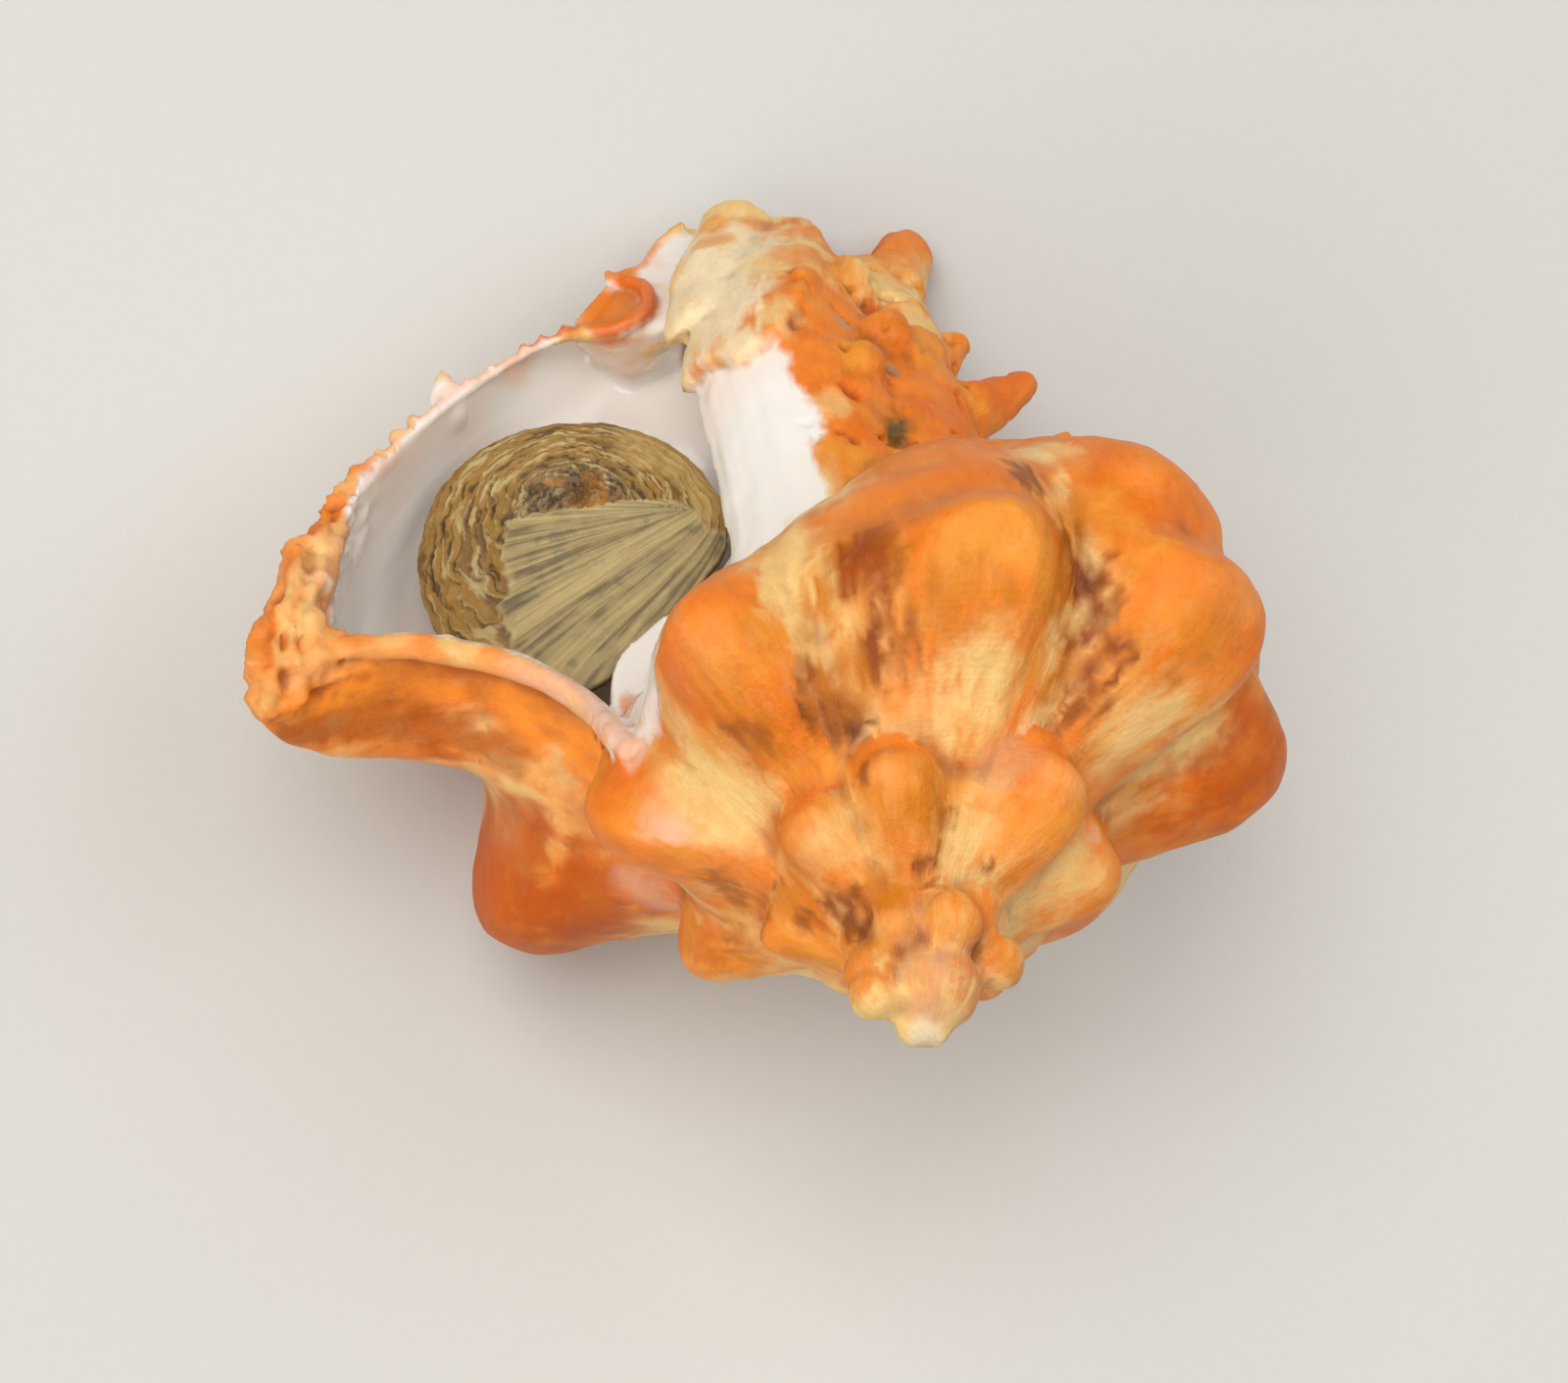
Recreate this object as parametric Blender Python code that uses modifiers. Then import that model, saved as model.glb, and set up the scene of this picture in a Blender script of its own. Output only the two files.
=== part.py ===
"""Murex shell with the horny operculum still in its mouth.

The shell is one grown piece: a whorl that widens by a constant factor each
turn, ribbed by rounded varices, ending in a flared outer lip and a short
siphonal canal.  The operculum is a separate plate lying loose in the mouth.

Shape frame while modelling: apex at the origin, coiling axis down -Z, mouth
facing -Y, outer lip on +X.  "angle" counts backward along the growth from the
outer lip, in degrees; "radius" and "drop" are measured from the coiling axis
and from the apex at the size the whorl has reached at the outer lip.
"""
import math

import bmesh
import bpy
import numpy as np
from mathutils import Matrix, Vector

MM = 0.001

# ---------------------------------------------------------------- growth
GROWTH_PER_WHORL = 1.917
LIP_ANGLE = -8.0
OLDEST_ANGLE = 1750.0

# (radius, drop) in mm, from the suture down to the end of the canal
BETWEEN_RIBS = [(18.6, 25.0), (23.0, 28.2), (28.4, 33.0), (33.2, 38.8), (35.4, 44.4),
                (36.0, 50.4), (34.8, 57.0), (31.2, 63.6), (25.3, 69.4), (18.3, 74.6),
                (13.3, 79.4), (9.8, 84.0), (7.6, 88.6), (6.6, 91.0)]
RIB_CREST = [(18.2, 22.2), (24.6, 25.6), (32.2, 28.6), (39.8, 33.4), (43.2, 39.4),
             (41.2, 46.6), (42.0, 54.6), (38.0, 62.2), (31.2, 68.4), (24.0, 74.8),
             (18.0, 80.6), (13.2, 85.4), (9.7, 89.8), (7.6, 91.5)]
OUTER_LIP = [(19.2, 27.2), (23.5, 34.2), (30.8, 38.9), (39.2, 39.2), (49.0, 37.0),
             (49.0, 44.6), (45.6, 52.2), (41.2, 59.4), (36.4, 67.4), (31.2, 74.4),
             (26.0, 80.2), (20.6, 85.4), (16.4, 90.4), (13.0, 94.6)]
SHOULDER_STATION = 0.42
SHOULDER_SOFTNESS = 0.04
RIB_ROUNDNESS = 2.2
# degrees behind the lip over which its flare dies away, above and below the shoulder
FLARE_ABOVE = 20.0
FLARE_BELOW = 33.0
FLARE_SHARPNESS = 4
# how far a whorl reaches up inside the one before it, in mm at the lip's size
OVERLAP = 5.0

# rib angle, shoulder knob size, side knob size, younger side and older side width
RIBS = [(35, 1.10, 1.05, 10, 11), (78, 0.20, 0.30, 10, 14), (123, 0.30, 0.35, 10, 14),
        (167, 0.95, 1.0, 12, 15), (208, 1.2, 1.35, 13, 15), (254, 0.85, 0.55, 15, 17),
        (307, 1.15, 0.9, 14, 15), (353, 1.0, 0.9, 12, 15), (404, 1.0, 0.9, 11, 11),
        (446, 0.3, 0.5, 10, 12), (488, 0.3, 0.5, 10, 12), (529, 1.0, 0.9, 11, 12),
        (575, 1.3, 1.0, 12, 13), (632, 1.2, 0.9, 13, 14), (681, 1.3, 0.9, 12, 13),
        (729, 0.8, 0.9, 11, 12), (772, 0.5, 0.7, 11, 12), (815, 0.6, 0.7, 11, 12),
        (858, 1.1, 0.9, 13, 14), (921, 1.4, 0.9, 15, 15), (982, 1.4, 0.9, 15, 15),
        (1045, 1.0, 0.8, 15, 15), (1108, 0.8, 0.7, 15, 15), (1170, 0.6, 0.6, 15, 15)]

# ---------------------------------------------------------------- hollow
HOLLOW_END_ANGLE = 620.0
BODY_HOLLOW = [(22.2, 33.6), (25.0, 36.0), (28.4, 39.0), (31.6, 43.8), (32.4, 49.5),
               (31.0, 55.6), (27.6, 61.2), (22.8, 66.4), (18.0, 71.0), (15.0, 73.0),
               (13.0, 73.2), (11.9, 71.5), (11.0, 68.5), (10.4, 65.0), (10.4, 60.5),
               (11.5, 55.0), (15.2, 50.0), (19.0, 44.8), (21.0, 39.4), (20.8, 35.6)]
LIP_HOLLOW = [(20.2, 29.2), (24.2, 35.9), (31.0, 40.2), (38.0, 41.0), (42.4, 42.2),
              (42.8, 49.0), (40.8, 56.6), (36.0, 65.4), (30.4, 72.0), (24.6, 76.4),
              (19.6, 81.0), (14.8, 85.5), (12.4, 82.0), (11.2, 74.5), (9.8, 66.0),
              (9.4, 57.0), (12.6, 50.2), (18.0, 45.0), (21.6, 39.4), (21.4, 33.6)]
HOLLOW_MIDDLE = (25.0, 56.0)
# the hollow runs on past the lip, widening a little, so that it cuts the mouth open
HOLLOW_RUN_OUT = 16.0
HOLLOW_WIDENS = 0.010
# degrees behind the lip where the lip's section starts to give way, and how softly
LIP_HOLLOW_KEEPS = 12.0
LIP_HOLLOW_FADES = 16.0

VOXEL = 0.0006
SOFTEN_FACTOR = 0.5
SOFTEN_ROUNDS = 2
SHELL_SHARE = 0.042
WHORL_STEPS = 1000
WHORL_STATIONS = 160
# above 1 puts the steps closer together near the lip
STEP_CROWDING = 1.25
HOLLOW_STEPS = 170
HOLLOW_STATIONS = 80
ROD_STEPS = 40
ROD_SIDES = 24
# a direction that no rod runs along
ACROSS_RODS = (1.0, 0.3, 0.2)

# ---------------------------------------------------------------- pillar and canal
# places are (radius mm, angle degrees, drop mm), thicknesses are radii in mm
RODS = [
    ("columella", [(2, 0, 42), (4.0, -30, 56), (5.4, -36, 66), (5.6, -30, 76), (4.4, -10, 85),
                   (4.0, -10, 90)],
     [10.0, 8.6, 8.2, 7.0, 5.4, 4.0]),
    ("fasciole", [(2, 180, 48), (4.2, 185, 60), (4.4, 180, 70), (3.6, 170, 80), (2.4, 160, 87)],
     [9.0, 6.8, 5.2, 4.4, 3.4]),
    ("canal", [(10.6, -22, 72), (10.0, -20, 79), (8.6, -17, 85), (7.6, -14, 91.0)],
     [5.0, 5.2, 4.8, 4.1]),
]
# former canal ends and lip spines: root, tip, root radius, tip radius
HORNS = [
    ("canal_end_1", (3, 150, 80), (7.8, 156, 93.4), 4.6, 2.4),
    ("canal_end_2", (2, 160, 76), (6.0, 172, 86.0), 4.0, 2.3),
    ("canal_end_3", (4, 168, 70), (10.4, 166, 78.8), 3.4, 1.3),
    ("canal_end_4", (5, 176, 64), (15.4, 175, 71.4), 4.6, 1.2),
    ("canal_end_5", (7, 184, 54), (17.6, 187, 59.8), 4.2, 0.9),
    ("lip_tooth", (32.5, -6, 69.0), (33.6, -12, 70.6), 1.9, 0.7),
    ("lip_lobe_1", (43.6, -4, 50.0), (46.2, -4, 51.0), 2.6, 1.8),
    ("lip_lobe_2", (41.4, -4, 55.5), (43.8, -4, 56.5), 2.4, 1.6),
]
# shares of the tip radius
HORN_TIP_LENGTH = 0.8
HORN_TIP_THICKNESS = 0.3
BALLS = [("first_whorl", (0.1, -1.1, 0.3), 2.3), ("second_whorl", (0.0, -0.7, -2.7), 3.8)]
BORES = [
    ("canal_bore", [(14, 0, 74), (12.5, -6, 79), (10.4, -14, 84), (8.8, -16, 89), (7.6, -14, 98)],
     [4.6, 3.4, 2.9, 2.6, 2.3]),
    ("umbilicus", [(8.6, -122, 60.5), (6.6, -122, 56.5), (4.8, -122, 51)], [1.4, 1.1, 0.7]),
]
SLIT = [((11.5, -10, 78), 9.0), ((8.0, -15, 97), 8.0)]
SLIT_FACES = -42.0
SLIT_WIDTH = 1.6

# ---------------------------------------------------------------- operculum
OPERCULUM_CENTRE = (24.1, 1.1, -54.4)
OPERCULUM_FACES = (0.115, -0.981, 0.157)
# (toward the outer lip, toward the apex) from the centre, in mm
OPERCULUM_OUTLINE = [(12.2, 0.0), (11.8, -5.0), (9.9, -9.8), (6.2, -13.2), (0.8, -14.4),
                     (-5.0, -13.0), (-9.8, -9.4), (-12.9, -4.0), (-13.2, 1.4), (-10.6, 5.4),
                     (-7.4, 8.6), (-4.2, 12.0), (-0.4, 13.8), (4.2, 12.4), (8.4, 9.4),
                     (11.1, 5.2)]
OPERCULUM_SIDES = 48
# share of the outline and height over the plate's plane, around its thickness
OPERCULUM_RINGS = [(0.02, -0.6), (0.5, -0.8), (0.93, -0.9), (1.0, -0.2), (0.97, 0.5),
                   (0.6, 1.0), (0.02, 1.2)]

SHELL_COLOUR = (0.75, 0.36, 0.15)
OPERCULUM_COLOUR = (0.24, 0.18, 0.08)

# ---------------------------------------------------------------- resting place
# the shell lies on its back: this way is up, and the apex then points this many
# degrees round from +X, which puts the longest side of the whole along X
UP = (-0.1647, -0.8233, 0.5433)
APEX_POINTS = 50.0
WORN_DEPTH = 0.0003
FLOOR_SIDE = 0.3


def spline(points, count, closed=False):
    """Evenly numbered Catmull-Rom points through a list of (a, b, ...) rows."""
    rows = np.asarray(points, float)
    total = len(rows)
    if closed:
        padded = np.vstack([rows[-1:], rows, rows[:2]])
        at = np.linspace(0, total, count, endpoint=False)
        start = at.astype(int)
    else:
        padded = np.vstack([2 * rows[0] - rows[1], rows, 2 * rows[-1] - rows[-2]])
        at = np.linspace(0, total - 1, count)
        start = np.minimum(at.astype(int), total - 2)
    f = (at - start)[:, None]
    a, b, c, d = (padded[start + i] for i in range(4))
    return 0.5 * (2 * b + (c - a) * f + (2 * a - 5 * b + 4 * c - d) * f ** 2
                  + (3 * b - a - 3 * c + d) * f ** 3)


def grown(angle):
    """Size of the whorl at an angle, as a share of its size at the lip."""
    return np.exp(-math.log(GROWTH_PER_WHORL) * np.maximum(angle, 0.0) / 360.0)


def bell(offset, younger, older):
    """Rounded rise across a rib, with its own width on each side."""
    width = np.where(offset > 0, older, younger)
    return np.exp(-(np.abs(offset) / width) ** RIB_ROUNDNESS)


def whorl_sections(angle, stations):
    """Half-sections (radius, drop) of the outside at lip size, one row per angle."""
    base = spline(BETWEEN_RIBS, stations)
    crest = spline(RIB_CREST, stations)
    lip = spline(OUTER_LIP, stations)
    share = np.linspace(0, 1, stations)[None, :]
    upper = 1.0 / (1.0 + np.exp((share - SHOULDER_STATION) / SHOULDER_SOFTNESS))
    rise = np.zeros((len(angle), stations))
    for rib, knob, side, younger, older in RIBS:
        ridge = bell(angle - rib, younger, older)[:, None]
        rise = np.maximum(rise, ridge * (knob * upper + side * (1 - upper)))
    section = base + rise[:, :, None] * (crest - base)
    back = np.maximum(angle - LIP_ANGLE, 0.0)[:, None]
    flare = (np.exp(-(back / FLARE_ABOVE) ** FLARE_SHARPNESS) * upper
             + np.exp(-(back / FLARE_BELOW) ** FLARE_SHARPNESS) * (1 - upper))[:, :, None]
    return section * (1 - flare) + lip * flare


def swept(section, angle):
    """Points of half-sections turned about the coiling axis and sized by growth."""
    turn = np.radians(angle)[:, None]
    sized = section * grown(angle)[:, None, None] * MM
    return np.stack([sized[:, :, 0] * np.cos(turn), sized[:, :, 0] * np.sin(turn),
                     -sized[:, :, 1]], -1)


def skin(name, rings):
    """Closed object over a stack of closed rings of points, ends capped."""
    count, around = rings.shape[:2]
    index = np.arange(count * around).reshape(count, around)
    beside = np.roll(index, -1, axis=1)
    faces = np.stack([index[:-1], beside[:-1], beside[1:], index[1:]], -1).reshape(-1, 4).tolist()
    faces += [index[0, ::-1].tolist(), index[-1].tolist()]
    mesh = bpy.data.meshes.new(name)
    mesh.from_pydata(rings.reshape(-1, 3).tolist(), [], faces)
    tidy = bmesh.new()
    tidy.from_mesh(mesh)
    bmesh.ops.remove_doubles(tidy, verts=tidy.verts, dist=0.000001)
    bmesh.ops.recalc_face_normals(tidy, faces=tidy.faces)
    tidy.to_mesh(mesh)
    tidy.free()
    thing = bpy.data.objects.new(name, mesh)
    bpy.context.scene.collection.objects.link(thing)
    return thing


def whorl():
    """Solid of the growing whorl, filled to the coiling axis."""
    along = np.linspace(0, 1, WHORL_STEPS) ** STEP_CROWDING
    angle = LIP_ANGLE + (OLDEST_ANGLE - LIP_ANGLE) * along
    outside = swept(whorl_sections(angle, WHORL_STATIONS), angle)
    zero = np.zeros(len(angle))
    top = np.stack([zero, zero, outside[:, 0, 2] + OVERLAP * MM * grown(angle)], -1)[:, None]
    end = np.stack([zero, zero, outside[:, -1, 2]], -1)[:, None]
    return skin("whorl", np.concatenate([top, outside, end], 1))


def hollow():
    """Space inside the whorl, from past the mouth back to the older whorls."""
    angle = np.linspace(LIP_ANGLE - HOLLOW_RUN_OUT, HOLLOW_END_ANGLE, HOLLOW_STEPS)
    body = spline(BODY_HOLLOW, HOLLOW_STATIONS, closed=True)
    lip = spline(LIP_HOLLOW, HOLLOW_STATIONS, closed=True)
    back = angle - LIP_ANGLE
    deep = np.maximum(back - LIP_HOLLOW_KEEPS, 0.0) / LIP_HOLLOW_FADES
    near_lip = np.exp(-deep ** 2)[:, None, None]
    section = body * (1 - near_lip) + lip * near_lip
    opening = 1 + HOLLOW_WIDENS * np.maximum(-back, 0.0)[:, None, None]
    section = np.array(HOLLOW_MIDDLE) + (section - HOLLOW_MIDDLE) * opening
    return skin("hollow", swept(section, angle))


def spot(radius, angle, drop):
    """Point at a radius and drop (mm) on the half-plane at an angle (degrees)."""
    turn = math.radians(angle)
    return (radius * math.cos(turn), radius * math.sin(turn), -drop)


def rod(name, path, radii):
    """Round rod through points (mm) with a radius (mm) at each."""
    line = spline(path, ROD_STEPS)
    thick = spline([(r,) for r in radii], ROD_STEPS)[:, 0]
    along = np.gradient(line, axis=0)
    along /= np.linalg.norm(along, axis=1)[:, None]
    side = np.cross(along, ACROSS_RODS)
    side /= np.linalg.norm(side, axis=1)[:, None]
    other = np.cross(along, side)
    turn = np.linspace(0, 2 * math.pi, ROD_SIDES, endpoint=False)
    rings = (line[:, None] + thick[:, None, None]
             * (np.cos(turn)[None, :, None] * side[:, None]
                + np.sin(turn)[None, :, None] * other[:, None]))
    return skin(name, rings * MM)


def horn(name, root, tip, thick, thin):
    """Straight tapering rod with a blunted tip."""
    a, b = Vector(root), Vector(tip)
    past = b + (b - a).normalized() * thin * HORN_TIP_LENGTH
    blunt = thin * HORN_TIP_THICKNESS
    return rod(name, [a, (a + b) / 2, b, past], [thick, (thick + thin) / 2, thin, blunt])


def ball(name, centre, radius):
    """Ball at a centre, both in mm."""
    bpy.ops.mesh.primitive_uv_sphere_add(segments=24, ring_count=16, radius=radius * MM,
                                         location=Vector(centre) * MM)
    bpy.context.object.name = name
    return bpy.context.object


def outside_pieces():
    """The closed pieces whose union is the outside of the shell."""
    pieces = [whorl()]
    for name, centre, radius in BALLS:
        pieces.append(ball(name, centre, radius))
    for name, path, radii in RODS:
        pieces.append(rod(name, [spot(*place) for place in path], radii))
    for name, root, tip, thick, thin in HORNS:
        pieces.append(horn(name, spot(*root), spot(*tip), thick, thin))
    return pieces


def slit():
    """Blade that opens the canal along its front."""
    blade = []
    for place, reach in SLIT:
        middle = np.array(spot(*place))
        turn = math.radians(SLIT_FACES)
        out = np.array((math.cos(turn), math.sin(turn), 0.0))
        wide = np.array((-math.sin(turn), math.cos(turn), 0.0)) * SLIT_WIDTH / 2
        blade.append([middle - wide, middle + wide, middle + out * reach + wide,
                      middle + out * reach - wide])
    return skin("slit", np.array(blade) * MM)


def cutters():
    """The closed pieces that are taken out of the shell."""
    tools = [hollow(), slit()]
    for name, path, radii in BORES:
        tools.append(rod(name, [spot(*place) for place in path], radii))
    return tools


def joined(pieces, name):
    """One object holding the meshes of all the pieces."""
    bpy.ops.object.select_all(action="DESELECT")
    for piece in pieces:
        piece.select_set(True)
    bpy.context.view_layer.objects.active = pieces[0]
    bpy.ops.object.join()
    pieces[0].name = name
    return pieces[0]


def collection(name):
    """New collection in the scene."""
    group = bpy.data.collections.new(name)
    bpy.context.scene.collection.children.link(group)
    return group


def put_in(group, thing):
    """Move an object into a collection."""
    for other in thing.users_collection:
        other.objects.unlink(thing)
    group.objects.link(thing)


def finish(name, colour, roughness):
    """Plain Principled material."""
    material = bpy.data.materials.new(name)
    material.use_nodes = True
    shader = material.node_tree.nodes["Principled BSDF"]
    shader.inputs["Base Color"].default_value = (*colour, 1.0)
    shader.inputs["Roughness"].default_value = roughness
    return material


def fuse(shell, name):
    """Melt everything in the object into one skin and soften the joints."""
    melt = shell.modifiers.new(name, "REMESH")
    melt.mode = "VOXEL"
    melt.voxel_size = VOXEL
    soften = shell.modifiers.new(name + "_soften", "SMOOTH")
    soften.factor = SOFTEN_FACTOR
    soften.iterations = SOFTEN_ROUNDS


def cut(shell, tool):
    """Take a tool's volume out of the shell."""
    away = shell.modifiers.new("less_" + tool.name, "BOOLEAN")
    away.operation = "DIFFERENCE"
    away.solver = "EXACT"
    away.object = tool
    tool.hide_render = True
    tool.display_type = "WIRE"


def bounds(thing):
    """Lowest and highest corner of the finished shape in world space."""
    graph = bpy.context.evaluated_depsgraph_get()
    mesh = thing.evaluated_get(graph).to_mesh()
    points = np.array([thing.matrix_world @ corner.co for corner in mesh.vertices])
    return points.min(axis=0), points.max(axis=0)


def lay_down(shell, things, parts, guides):
    """Turn everything onto its back on the floor, centred, and wear the spots it rests on."""
    rest = bpy.data.objects.new("rest", None)
    parts.objects.link(rest)
    up = Vector(UP).normalized()
    ahead = (Vector((0, 0, 1)) - up * up.z).normalized()
    on_back = Matrix((ahead, up.cross(ahead), up)).to_4x4()
    rest.matrix_world = Matrix.Rotation(math.radians(APEX_POINTS), 4, "Z") @ on_back
    for thing in things:
        thing.parent = rest
    bpy.context.view_layer.update()
    low, high = bounds(shell)
    rest.location = (-(low[0] + high[0]) / 2, -(low[1] + high[1]) / 2, -low[2] - WORN_DEPTH)
    bpy.ops.mesh.primitive_cube_add(size=FLOOR_SIDE, location=(0.0, 0.0, -FLOOR_SIDE / 2))
    floor = bpy.context.object
    floor.name = "worn_spots"
    cut(shell, floor)
    put_in(guides, floor)


def shell_model(parts, guides):
    """The grown shell, hollowed and thinned to a light mesh."""
    shell = joined(outside_pieces(), "shell")
    shell.data.materials.clear()
    shell.data.materials.append(finish("shell", SHELL_COLOUR, 0.45))
    fuse(shell, "melt")
    for tool in cutters():
        cut(shell, tool)
        put_in(guides, tool)
    fuse(shell, "even")
    thin = shell.modifiers.new("thin_out", "DECIMATE")
    thin.ratio = SHELL_SHARE
    shell.data.shade_smooth()
    put_in(parts, shell)
    return shell


def operculum_model(parts):
    """Horny plate: an oval dished outward, thickest at its nucleus."""
    outline = spline(OPERCULUM_OUTLINE, OPERCULUM_SIDES, closed=True)
    out = Vector(OPERCULUM_FACES).normalized()
    up = (Vector((0, 0, 1)) - out * out.z).normalized()
    frame = np.array([up.cross(out), up, out])
    rings = []
    for share, lift in OPERCULUM_RINGS:
        local = np.c_[outline * share, np.full(len(outline), lift)]
        rings.append(OPERCULUM_CENTRE + local @ frame)
    plate = skin("operculum", np.array(rings) * MM)
    plate.data.materials.append(finish("operculum", OPERCULUM_COLOUR, 0.6))
    plate.data.shade_smooth()
    put_in(parts, plate)
    return plate


def main():
    """Build the shell and its operculum and lay them down."""
    for thing in list(bpy.data.objects):
        bpy.data.objects.remove(thing)
    parts = collection("murex_shell")
    guides = collection("guides")
    guides.hide_render = True
    shell = shell_model(parts, guides)
    plate = operculum_model(parts)
    lay_down(shell, [shell, plate, *guides.objects], parts, guides)


if __name__ == "__main__":
    main()
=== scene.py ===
"""Murex shell with the horny operculum in its mouth, lying on its back on a pale floor.

The shell is one grown piece.  It is modelled in a growing frame, in millimetres: the apex at the
origin, the coiling axis down -Z, the mouth facing -Y and the outer lip on +X.  An angle counts
backward along the growth from the outer lip, in degrees; a radius and a drop are measured from
the coiling axis and from the apex, at the size that the whorl has reached at the lip.  The class
Rest turns that frame onto the floor.
"""

import logging
import math
from dataclasses import dataclass, field
from enum import Enum
from itertools import product

import bpy
import numpy as np
from mathutils import Matrix, Vector
from mathutils.kdtree import KDTree


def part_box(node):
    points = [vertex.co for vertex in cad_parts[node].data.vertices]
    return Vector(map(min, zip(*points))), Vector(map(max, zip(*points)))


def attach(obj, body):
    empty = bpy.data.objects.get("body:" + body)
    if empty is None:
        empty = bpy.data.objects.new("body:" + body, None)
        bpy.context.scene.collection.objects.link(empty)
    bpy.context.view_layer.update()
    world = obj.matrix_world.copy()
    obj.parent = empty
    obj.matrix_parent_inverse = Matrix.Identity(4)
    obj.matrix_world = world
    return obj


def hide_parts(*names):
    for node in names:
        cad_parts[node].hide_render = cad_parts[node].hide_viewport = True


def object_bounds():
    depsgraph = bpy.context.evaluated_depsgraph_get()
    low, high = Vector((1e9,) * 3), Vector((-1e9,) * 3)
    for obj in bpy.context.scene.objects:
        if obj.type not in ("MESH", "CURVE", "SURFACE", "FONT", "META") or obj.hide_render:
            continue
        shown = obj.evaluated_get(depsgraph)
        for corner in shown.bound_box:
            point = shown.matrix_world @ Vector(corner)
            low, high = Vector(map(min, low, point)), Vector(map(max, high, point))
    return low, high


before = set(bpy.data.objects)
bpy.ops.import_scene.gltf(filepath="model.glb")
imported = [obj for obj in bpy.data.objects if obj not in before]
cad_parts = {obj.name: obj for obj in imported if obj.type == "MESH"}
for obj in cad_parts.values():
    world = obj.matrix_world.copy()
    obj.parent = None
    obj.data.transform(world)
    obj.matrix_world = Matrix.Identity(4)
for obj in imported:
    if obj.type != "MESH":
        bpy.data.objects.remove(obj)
CAD_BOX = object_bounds()

log = logging.getLogger("murex_shell")

MM = 0.001
# Whole numbers that turn a cell and a seed into a repeatable value.
HASH_STEPS = (374761393, 668265263, 2147483647)
HASH_TURN = 1274126177
HASH_MASK = 0xFFFFFFFF
OCTAVE_SEED = 17
ROD_STEPS, ROD_SIDES = 12, 20
ROD_CROSSWISE = (0.013, 1.013, 0.013)
BALL_SEGMENTS, BALL_RINGS = 28, 18
DOUBLES = 1e-6
LEAST_RADIUS = 0.5
Point = Rgb = tuple[float, float, float]
Array = np.ndarray
Thing, Socket, Tree = bpy.types.Object, bpy.types.NodeSocket, bpy.types.NodeTree


# ------------------------------------------------------------------ shared sums
def spline(points: tuple | list, count: int, closed: bool = False) -> Array:
    """Evenly numbered Catmull-Rom points through rows of numbers.

    Args:
        points: rows of equal length that the line passes through.
        count: how many points to return.
        closed: whether the line joins up with its start.

    Returns:
        An array of count rows.
    """
    rows = np.asarray(points, float)
    total = len(rows)
    if closed:
        padded = np.vstack([rows[-1:], rows, rows[:2]])
        at = np.linspace(0, total, count, endpoint=False)
        start = at.astype(int)
    else:
        padded = np.vstack([2 * rows[0] - rows[1], rows, 2 * rows[-1] - rows[-2]])
        at = np.linspace(0, total - 1, count)
        start = np.minimum(at.astype(int), total - 2)
    f = (at - start)[:, None]
    a, b, c, d = (padded[start + i] for i in range(4))
    return 0.5 * (2 * b + (c - a) * f + (2 * a - 5 * b + 4 * c - d) * f ** 2
                  + (3 * b - a - 3 * c + d) * f ** 3)


def ease(value: Array, low: float, high: float) -> Array:
    """Smooth rise from 0 at low to 1 at high, or a fall if low is above high."""
    f = np.clip((value - low) / (high - low), 0.0, 1.0)
    return f * f * (3 - 2 * f)


def scatter(cells: Array, seed: int) -> Array:
    """Repeatable value from 0 to 1 for each cell.

    Args:
        cells: rows of three whole numbers.
        seed: which set of values.

    Returns:
        One value for each row.
    """
    x, y, z = (cells[..., i].astype(np.int64) * HASH_STEPS[i] for i in range(3))
    mixed = (x + y + z + seed * HASH_TURN) & HASH_MASK
    mixed = ((mixed ^ (mixed >> 13)) * HASH_TURN) & HASH_MASK
    return (mixed ^ (mixed >> 16)) / HASH_MASK


def cloud(points: Array, size: float, seed: int, octaves: int = 1) -> Array:
    """Soft noise from about -1 to 1.

    Args:
        points: places, one a row.
        size: distance over which the coarsest octave changes.
        seed: which noise.
        octaves: how many finer layers to add, each at half the size and strength.

    Returns:
        One value for each place.
    """
    total = np.zeros(len(points))
    strength, whole = 1.0, 0.0
    for octave in range(octaves):
        at = points / (size / 2 ** octave)
        cell = np.floor(at)
        f = at - cell
        f = f * f * (3 - 2 * f)
        value = np.zeros(len(points))
        for corner in product((0, 1), repeat=3):
            share = np.prod(np.where(corner, f, 1 - f), axis=1)
            value += share * scatter(cell + corner, seed + OCTAVE_SEED * octave)
        total += strength * (2 * value - 1)
        whole += strength
        strength *= 0.5
    return total / whole


def linear(colour: Rgb) -> Array:
    """Scene-linear values of a colour given as it looks on a display."""
    shown = np.asarray(colour, float)
    return np.where(shown <= 0.04045, shown / 12.92, ((shown + 0.055) / 1.055) ** 2.4)


def nearest(targets: Array, places: Array) -> tuple:
    """Nearest target of each place.

    Args:
        targets: places to look among, one a row.
        places: places to look from, one a row.

    Returns:
        The distance to the nearest target, and its row number, for each place.
    """
    tree = KDTree(len(targets))
    for index, target in enumerate(targets):
        tree.insert(target, index)
    tree.balance()
    found = [tree.find(place) for place in places]
    return np.array([item[2] for item in found]), np.array([item[1] for item in found])


# ------------------------------------------------------------------ modelling steps
def only(thing: Thing) -> None:
    """Make one object the active and only selected one."""
    bpy.ops.object.select_all(action="DESELECT")
    thing.select_set(True)
    bpy.context.view_layer.objects.active = thing


def unit(directions: Array) -> Array:
    """Rows brought to length 1."""
    return directions / np.linalg.norm(directions, axis=-1, keepdims=True)


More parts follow.
